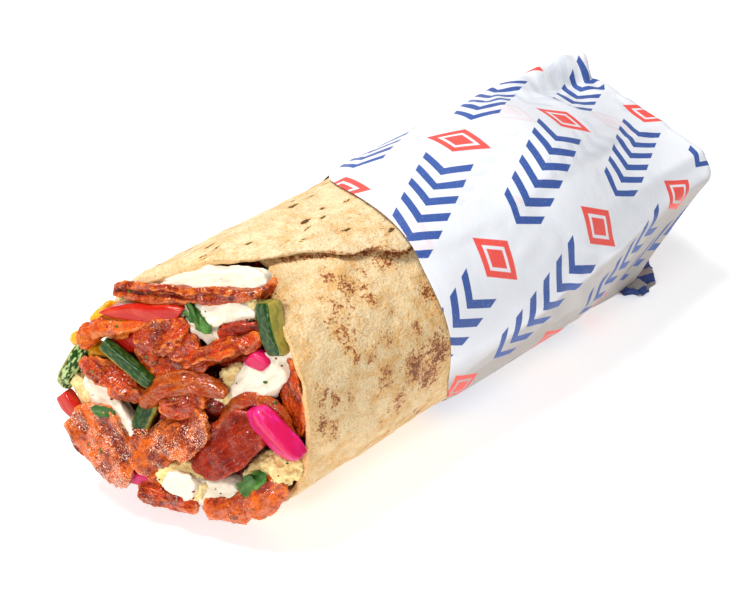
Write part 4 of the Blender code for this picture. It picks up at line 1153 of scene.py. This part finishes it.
class KEBAB_OT_meat(bpy.types.Operator):
    """Lay the slices and strips of marinated meat"""
    bl_idname = "kebab.meat"
    bl_label = "Meat"

    def execute(self, context):
        looks = context.scene.kebab_filling
        deep, warm, bright = looks.deep, looks.warm, looks.bright
        brown, tan = between(deep, warm), between(warm, bright)
        finishes = {
            "roast": flesh_finish("roast_meat", deep, warm, bright, looks, 0.6),
            # Meat that carries dense painted glints, gathered in patches
            "glazed": flesh_finish("glazed_meat", deep, tan, bright, looks, 0.6, glints=0.8,
                                   oiled=1.0, mottled=0.8),
            "crisp": flesh_finish("crisp_meat", deep, brown, bright, looks, 0.9),
            "dark": flesh_finish("dark_meat", deep, brown, warm, looks, 0.75),
            "deep": flesh_finish("deep_meat", scaled(deep, 0.7), scaled(brown, 0.7), warm, looks,
                                 0.4, grain=0.5, wet=0.45, glints=0.25, mottled=0.45),
            "golden": flesh_finish("golden_meat", brown, tan, bright, looks, 0.7),
            "amber": flesh_finish("amber_pepper", warm, looks.amber, bright, looks, 0.3),
        }
        for seed, (node, (kind, grain, slabs)) in enumerate(MEAT_CUTS.items()):
            even = kind == "deep"
            morsel(node, "_roasted", finishes[kind], "meat", looks.voxel, -0.45 * MM, seed=seed,
                   soft=6 if even else 2, lumps=(3.6, 0.8), fibre=(1.1, 0.10 if even else 0.32),
                   crumb=(0.8, 0.10), slabs=slabs, along=grain, rounds=24)
        return {"FINISHED"}


ONION_CUTS = {
    "onion_arch_centre": (
        cut((-4.0, 1.4, 6.6), 8, (25, 5.2, 1.6), tip=-24, arch=2.4, curve=4.6, groove=0.9,
            ragged=0.5, wave=0.5, steps=(40, 16)),),
    "onion_arch_right": (
        cut((15.0, -4.4, 4.4), -4, (21, 3.8, 1.6), tip=-10, arch=1.0, curve=8.5, groove=0.3,
            ragged=0.4, wave=0.4, steps=(40, 12)),),
}


class KEBAB_OT_onion(bpy.types.Operator):
    """Lay the glossy arches of cooked onion"""
    bl_idname = "kebab.onion"
    bl_label = "Onion"

    def execute(self, context):
        looks = context.scene.kebab_filling
        dull = scaled(between(looks.warm, looks.amber), 0.6)
        finish = flesh_finish("cooked_onion", scaled(looks.warm, 0.6), dull, looks.amber, looks,
                              0.4, grain=0.5, wet=0.8, glints=0.25, char=looks.deep)
        for seed, (node, slabs) in enumerate(ONION_CUTS.items()):
            morsel(node, "_cooked", finish, "onion", looks.voxel, 0.0, lumps=(3.0, 0.5),
                   fibre=(1.0, 0.2), crumb=(0.9, 0.1), seed=20 + seed, slabs=slabs)
        return {"FINISHED"}


def juicy_finish(name, colour, pale, share=0.35, rough=0.2):
    """Raw vegetable: clear wet flesh with paler veins."""
    f = Finish(name, rough, Subsurface_Weight=0.2, Subsurface_Scale=1.5 * MM,
               Subsurface_Radius=(1.0, 0.3, 0.3), Coat_Weight=0.2, Coat_Roughness=0.08,
               Specular_IOR_Level=0.25)
    where = f.stored("grain", "Vector")
    veins = f.noise(f.mapped(where, (0.35, 1.0, 1.0)), 2.2, 4.0)
    colour = f.blend(f.times(f.ramp(veins, 0.45, 0.70), share), colour, pale)
    return f.wear(colour, f.bump((f.noise(where, 0.9), 0.10)))


# Flat-faced cuts of the raw vegetables, placed as the meat is; a block is a stick, the rest are slices
GARDEN_CUTS = {
    "tomato_long": (
        block((-14.0, 21.4, 4.4), -3, (22, 4.8, 3.0), taper=-0.4, tip=14, slant=1.6, ends=0.4),),
    "tomato_left": (
        block((-33.4, -4.0, 2.2), -54, (10.5, 4.6, 3.2), taper=0.2, tip=16),),
    "tomato_upper": (
        block((-17.4, 13.6, 2.0), 14, (12, 5.0, 3.0)),),
    "cucumber_left": (
        block((-33.2, 7.4, 2.4), 57, (13.4, 4.4, 3.6), tip=-26, arch=0.8),),
    "cucumber_stick": (
        block((-18.0, 8.4, 5.8), -39, (16.5, 3.7, 3.4), tip=6),),
    "cucumber_right": (
        block((19.8, 17.6, 4.6), -77, (13.6, 5.6, 5.6), tip=22, arch=0.5),),
    "cucumber_centre": (
        block((-14.6, -5.4, 1.6), 66, (10.5, 5.0, 5.0), tip=24),),
    "turnip_large": (
        block((20.2, -8.6, 6.4), -48, (16.4, 8.2, 5.6), tip=38, slant=1.0, arch=0.4, ends=0.28),),
    "turnip_small": (
        block((16.2, 9.6, 3.2), -30, (5.8, 5.2, 4.4), tip=22, slant=0.6),),
    "turnip_bottom": (
        block((-16.6, -21.4, 1.0), -12, (8.0, 4.6, 4.0), tip=16),),
}


class KEBAB_OT_tomato(bpy.types.Operator):
    """Lay the tomato wedges and the yellow pepper"""
    bl_idname = "kebab.tomato"
    bl_label = "Tomato and pepper"

    def execute(self, context):
        looks, size = context.scene.kebab_garden, context.scene.kebab_filling
        red = juicy_finish("tomato", looks.tomato, looks.tomato_pale)
        yellow = juicy_finish("pepper", looks.pepper, looks.pepper_pale)
        for seed, node in enumerate(nodes_named("tomato_")):
            morsel(node, "_sliced", red, "tomato", size.voxel, -0.4 * MM, soft=8,
                   lumps=(5.0, 0.4), fibre=NO_RELIEF, crumb=NO_RELIEF, seed=30 + seed,
                   slabs=GARDEN_CUTS.get(node, ()))
        for seed, node in enumerate(nodes_named("pepper_")):
            morsel(node, "_sliced", yellow, "pepper", size.voxel, size.swell, lumps=(3.0, 0.8),
                   fibre=(1.3, 0.2), crumb=NO_RELIEF, seed=36 + seed)
        return {"FINISHED"}


# Which way each cucumber piece turns its skin, as the mouth is looked at: right, up and out
SKIN_SIDES = {
    "cucumber_left": (0.5, -0.2, 0.9), "cucumber_stick": (0.3, 0.3, 0.9),
    "cucumber_right": (-1.0, -0.2, 0.5), "cucumber_centre": (-1.0, 0.2, 0.5),
}


def cucumber_finish(looks, name, striped):
    """Cucumber: dark flecked skin on one side, pale wet flesh on the others."""
    f = Finish(name, 0.28, Subsurface_Weight=0.15, Subsurface_Scale=1.2 * MM,
               Subsurface_Radius=(0.6, 1.0, 0.3), Coat_Weight=0.12, Coat_Roughness=0.08,
               Specular_IOR_Level=0.2)
    where, side = f.stored("grain", "Vector"), f.stored("skin")
    drawn = f.mapped(where, (0.5, 1.0, 1.0))
    skin = f.ramp(f.plus(side, f.times(f.noise(where, 1.5), 0.15)), 0.02, 0.14)
    flecks = f.noise(drawn, 0.8)
    green = f.tinted(looks.skin, looks.stripe, flecks, 0.46, 0.60, striped)
    flesh = f.blend(f.ramp(f.noise(drawn, 1.6), 0.4, 0.65), looks.flesh, looks.core)
    edge = f.times(f.ramp(side, -0.25, 0.0), f.inverted(skin))
    flesh = f.blend(f.times(edge, 0.6), flesh, looks.under_skin)
    return f.wear(f.blend(skin, flesh, green), f.bump((flecks, 0.14)))


class KEBAB_OT_cucumber(bpy.types.Operator):
    """Lay the cucumber sticks"""
    bl_idname = "kebab.cucumber"
    bl_label = "Cucumber"

    def execute(self, context):
        looks, size = context.scene.kebab_garden, context.scene.kebab_filling
        dark = cucumber_finish(looks, "cucumber", 0.10)
        striped = cucumber_finish(looks, "striped_cucumber", 0.85)
        for seed, (node, side) in enumerate(SKIN_SIDES.items()):
            finish = striped if node == "cucumber_left" else dark
            piece = morsel(node, "_sliced", finish, "cucumber", size.voxel, -0.5 * MM, soft=10,
                           lumps=(4.0, 0.3), fibre=(1.2, 0.06), crumb=NO_RELIEF, seed=40 + seed,
                           slabs=GARDEN_CUTS[node])
            to_skin = (RIGHT * side[0] + UP * side[1] + OUT * side[2]).normalized()
            keep_values(piece, "skin", normals_of(piece) @ np.array(to_skin) - 0.2)
        return {"FINISHED"}


class KEBAB_OT_turnip(bpy.types.Operator):
    """Lay the pink pickled turnip"""
    bl_idname = "kebab.turnip"
    bl_label = "Turnip"

    def execute(self, context):
        looks, size = context.scene.kebab_garden, context.scene.kebab_filling
        finish = juicy_finish("pickled_turnip", looks.turnip, looks.turnip_pale, 0.7, 0.3)
        for seed, node in enumerate(nodes_named("turnip_")):
            morsel(node, "_pickled", finish, "turnip", size.voxel, -0.4 * MM, soft=26,
                   lumps=(4.0, 0.3), fibre=NO_RELIEF, crumb=NO_RELIEF, seed=50 + seed,
                   slabs=GARDEN_CUTS.get(node, ()))
        return {"FINISHED"}


def cream_finish(name, colour, shade, rough, depth, size):
    """Sauce or hummus: pale and soft, with painted shade in its hollows and a darker mottle at random.
    """
    f = Finish(name, rough, Subsurface_Weight=0.3, Subsurface_Scale=1.5 * MM,
               Subsurface_Radius=(1.0, 0.8, 0.5), Specular_IOR_Level=0.5)
    where = f.place()
    mottle = f.ramp(f.noise(where, 2.5, 4.0), 0.5, 0.75)
    # Painted shade in the hollows, where the surface stands below its smoothed self, plus a random
    # mottle
    share = f.weigh((f.ramp(f.stored("height"), 0.2, -0.5), 0.6), (mottle, 0.3))
    return f.wear(f.blend(share, colour, shade), f.bump((f.noise(where, size, 4.0, 0.6), depth)))


# Broad smears that spread each spoonful over its neighbours
SMEARS = {
    "sauce_top": (
        cut((4.4, 28.4, 0.0), 5, (31, 6.4, 2.4), tip=-20, ragged=0.8, taper=-0.2, wave=0.6),
        cut((13.0, 30.0, -2.6), 4, (13, 5.2, 3.0), tip=-26, ragged=0.6, taper=0.2, wave=0.4)),
    "sauce_upper": (
        cut((4.6, 21.4, 3.0), 3, (25, 6.0, 2.2), ragged=1.6),
        cut((1.4, 17.4, 2.4), -34, (14, 6.4, 2.0), ragged=1.6)),
    "sauce_right": (
        cut((18.4, 6.2, 2.6), 38, (21, 9.6, 2.4), ragged=2.0),
        cut((9.2, 2.6, 1.6), 30, (14, 5.2, 2.0), ragged=1.6)),
    "sauce_left": (
        cut((-23.0, -2.8, 3.8), -56, (20, 6.8, 2.2), ragged=1.4),
        cut((-20.2, -8.2, 3.4), -20, (9, 4.6, 1.8), ragged=1.4)),
    "sauce_bottom": (
        cut((3.6, -24.4, 2.6), -4, (19, 6.0, 2.2), ragged=1.6),
        cut((-4.6, -23.6, 6.0), -35, (9.0, 4.8, 2.6), ragged=2.4, wave=1.0)),
}


class KEBAB_OT_sauce(bpy.types.Operator):
    """Spoon on the white sauce and the hummus"""
    bl_idname = "kebab.sauce"
    bl_label = "Sauce and hummus"

    def execute(self, context):
        looks, size = context.scene.kebab_sauce, context.scene.kebab_filling
        white = cream_finish("white_sauce", looks.sauce, looks.sauce_shade, 0.32, 0.10, 1.6)
        crumbly = cream_finish("hummus", looks.hummus, looks.hummus_shade, 0.55, 0.35, 0.8)
        for seed, node in enumerate(nodes_named("sauce_")):
            morsel(node, "_spooned", white, "sauce", size.voxel, size.swell, soft=8,
                   lumps=(4.0, 1.2), fibre=(1.5, 0.3), crumb=NO_RELIEF, seed=60 + seed,
                   slabs=SMEARS[node])
        for seed, node in enumerate(nodes_named("hummus_")):
            morsel(node, "_spooned", crumbly, "hummus", size.voxel, 1.5 * size.swell, soft=1,
                   lumps=(2.4, 2.2), fibre=(1.2, 0.9), crumb=(0.8, 1.0), seed=70 + seed)
        return {"FINISHED"}


LEAF_CUTS = {
    "parsley_top": (
        cut((-0.2, 20.6, 5.4), -62, (7.6, 3.4, 0.5), tip=30, ragged=1.2, wave=0.8),
        cut((1.6, 18.8, 5.2), -48, (7.4, 3.2, 0.5), tip=-30, ragged=1.2, wave=0.8)),
    "parsley_left": (
        cut((-25.0, -4.4, 6.6), -4, (6.4, 3.6, 0.6), tip=10, ragged=2.0, wave=1.0),),
    "parsley_bottom": (
        cut((12.4, -22.4, 5.4), 60, (7.0, 4.4, 0.5), tip=20, ragged=2.2, wave=1.4),
        cut((15.4, -20.8, 5.2), 20, (6.4, 3.6, 0.5), tip=-20, ragged=2.2, wave=1.4)),
}


class KEBAB_OT_parsley(bpy.types.Operator):
    """Scatter the parsley leaves"""
    bl_idname = "kebab.parsley"
    bl_label = "Parsley"

    def execute(self, context):
        looks = context.scene.kebab_garden
        finish = juicy_finish("parsley", looks.parsley, looks.parsley_pale, 0.6, 0.4)
        for seed, (node, leaves) in enumerate(LEAF_CUTS.items()):
            morsel(node, "_picked", finish, "parsley", 0.2 * MM, -0.15 * MM, soft=1,
                   lumps=(2.0, 0.4), fibre=(1.0, 0.15), crumb=NO_RELIEF, seed=80 + seed,
                   slabs=leaves)
        return {"FINISHED"}


def scattered(name, count, size, finish, slot, seed):
    """Flat flecks dropped on the filling's face, along the line it is looked at, as one piece."""
    draw = random.Random(seed)
    scene = bpy.context.scene
    graph = bpy.context.evaluated_depsgraph_get()
    landed = []
    for _ in range(4 * count):
        right, up = draw.uniform(*FLECKS_RIGHT), draw.uniform(*FLECKS_UP)
        start = Vector(stand(*mouth_point(right, up, FLECKS_FROM)))
        hit, spot, facing, _, thing, _ = scene.ray_cast(graph, start, -OUT)
        if hit and thing.name.endswith(FLECKS_ON) and len(landed) < count:
            landed.append((spot, facing))
    flecks = []
    for spot, facing in landed:
        turned = facing.to_track_quat("Z", "Y").to_euler()
        bpy.ops.mesh.primitive_ico_sphere_add(subdivisions=2, radius=draw.uniform(*size) * MM,
                                              location=spot, rotation=turned, calc_uvs=False)
        fleck = bpy.context.active_object
        fleck.scale = (1.0, draw.uniform(0.5, 0.9), 0.4)
        flecks.append(fleck)
    joined(flecks[0], flecks)
    bpy.ops.object.transform_apply(location=True, rotation=True, scale=True)
    piece = bpy.context.active_object
    piece.name = name
    relief(piece, "CLOUDS", 0.5, 0.25, seed=seed)
    keep_values(piece, "grain", points_of(piece) / MM)
    return finished(piece, finish, slot)


class KEBAB_OT_flecks(bpy.types.Operator):
    """Scatter flecks of spice and herb over the filling"""
    bl_idname = "kebab.flecks"
    bl_label = "Flecks"

    def execute(self, context):
        looks, garden = context.scene.kebab_filling, context.scene.kebab_garden
        spice = juicy_finish("spice", looks.deep, looks.warm, 0.6, 0.4)
        herb = juicy_finish("herb", garden.parsley, garden.parsley_pale, 0.6, 0.4)
        scattered("spice_flecks", 90, (0.22, 0.50), spice, "meat", 7)
        scattered("herb_flecks", 16, (0.30, 0.60), herb, "parsley", 8)
        return {"FINISHED"}


def soft_light(name, spot, aim, size, power):
    """A square soft light that looks at a point."""
    data = bpy.data.lights.new(name, "AREA")
    data.shape, data.size, data.energy = "SQUARE", size, power
    light = bpy.data.objects.new(name, data)
    bpy.context.scene.collection.objects.link(light)
    light.location = spot
    light.rotation_euler = (Vector(spot) - Vector(aim)).to_track_quat("Z", "Y").to_euler()


class KEBAB_OT_stage(bpy.types.Operator):
    """Set the pale floor, the soft light and the camera"""
    bl_idname = "kebab.stage"
    bl_label = "Stage"

    def execute(self, context):
        looks = context.scene.kebab_stage
        bpy.ops.object.select_all(action="DESELECT")
        bpy.ops.mesh.primitive_plane_add(size=FLOOR_SIZE, location=(0.0, 0.0, 0.0))
        floor = context.active_object
        floor.name = "floor"
        f = Finish("pale_floor", 0.6, Specular_IOR_Level=0.2, Emission_Color=(1.0, 1.0, 1.0, 1.0),
                   Emission_Strength=looks.floor_glow)
        shade = f.ramp(f.noise(f.place(), 400.0, 2.0), 0.3, 0.7, 0.985, 1.0)
        grey = f.node("CombineColor", {0: shade, 1: shade, 2: shade}).outputs[0]
        floor.data.materials.append(f.wear(f.blend(1.0, looks.floor, grey, "MULTIPLY")))
        out = heading(looks.azimuth, looks.elevation)
        aim, high = Vector(looks.aim), Vector((0.0, 0.0, 1.0))
        right = high.cross(out).normalized()
        away = Vector((-out.x, -out.y, 0.0)).normalized()
        for name, spot, size, share in (("key_light", KEY_AT, KEY_SIZE, 1.0),
                                        ("fill_light", FILL_AT, FILL_SIZE, FILL_SHARE)):
            place = aim + right * spot[0] + away * spot[1] + high * spot[2]
            soft_light(name, place, aim, size, share * looks.key_power)
        world = bpy.data.worlds.new("studio")
        context.scene.world = world
        world.use_nodes = True
        backdrop = world.node_tree.nodes["Background"]
        backdrop.inputs["Color"].default_value = STUDIO_COLOUR
        backdrop.inputs["Strength"].default_value = STUDIO_STRENGTH
        camera_data = bpy.data.cameras.new("camera")
        camera_data.lens = looks.lens
        camera = bpy.data.objects.new("camera", camera_data)
        context.scene.collection.objects.link(camera)
        camera.location = aim + out * looks.distance
        camera.rotation_euler = out.to_track_quat("Z", "Y").to_euler()
        context.scene.camera = camera
        context.scene.view_settings.view_transform = "Standard"
        return {"FINISHED"}


STEPS = ("bread", "paper", "filling", "meat", "onion", "tomato", "cucumber", "turnip", "sauce",
         "parsley", "flecks", "stage")


class KEBAB_PT_panel(bpy.types.Panel):
    """Lists the pieces of the sandwich."""
    bl_idname = "KEBAB_PT_panel"
    bl_label = "Doner Kebab Sandwich"
    bl_space_type = "VIEW_3D"
    bl_region_type = "UI"
    bl_category = "Kebab"

    def draw(self, context):
        for step in STEPS:
            self.layout.operator("kebab." + step)
        for group in ("bread", "paper", "filling", "garden", "sauce", "stage"):
            box = self.layout.box()
            settings = getattr(context.scene, "kebab_" + group)
            for name in settings.bl_rna.properties.keys():
                if name not in ("rna_type", "name"):
                    box.prop(settings, name)


SETTINGS = {
    "kebab_bread": BreadSettings, "kebab_paper": PaperSettings, "kebab_filling": FillingSettings,
    "kebab_garden": GardenSettings, "kebab_sauce": SauceSettings, "kebab_stage": StageSettings,
}
OPERATORS = (
    KEBAB_OT_bread, KEBAB_OT_paper, KEBAB_OT_filling, KEBAB_OT_meat, KEBAB_OT_onion,
    KEBAB_OT_tomato, KEBAB_OT_cucumber, KEBAB_OT_turnip, KEBAB_OT_sauce, KEBAB_OT_parsley,
    KEBAB_OT_flecks, KEBAB_OT_stage,
)


def register():
    """Make the settings, the operators and the panel known to Blender."""
    for made in (*SETTINGS.values(), *OPERATORS, KEBAB_PT_panel):
        bpy.utils.register_class(made)
    for name, group in SETTINGS.items():
        setattr(bpy.types.Scene, name, bpy.props.PointerProperty(type=group))


def unregister():
    """Undo register."""
    for name in SETTINGS:
        delattr(bpy.types.Scene, name)
    for made in reversed((*SETTINGS.values(), *OPERATORS, KEBAB_PT_panel)):
        bpy.utils.unregister_class(made)


def main():
    """Build every piece and the stage."""
    noise.seed_set(1)
    register()
    for step in STEPS:
        getattr(bpy.ops.kebab, step)()


if __name__ == "__main__":
    main()
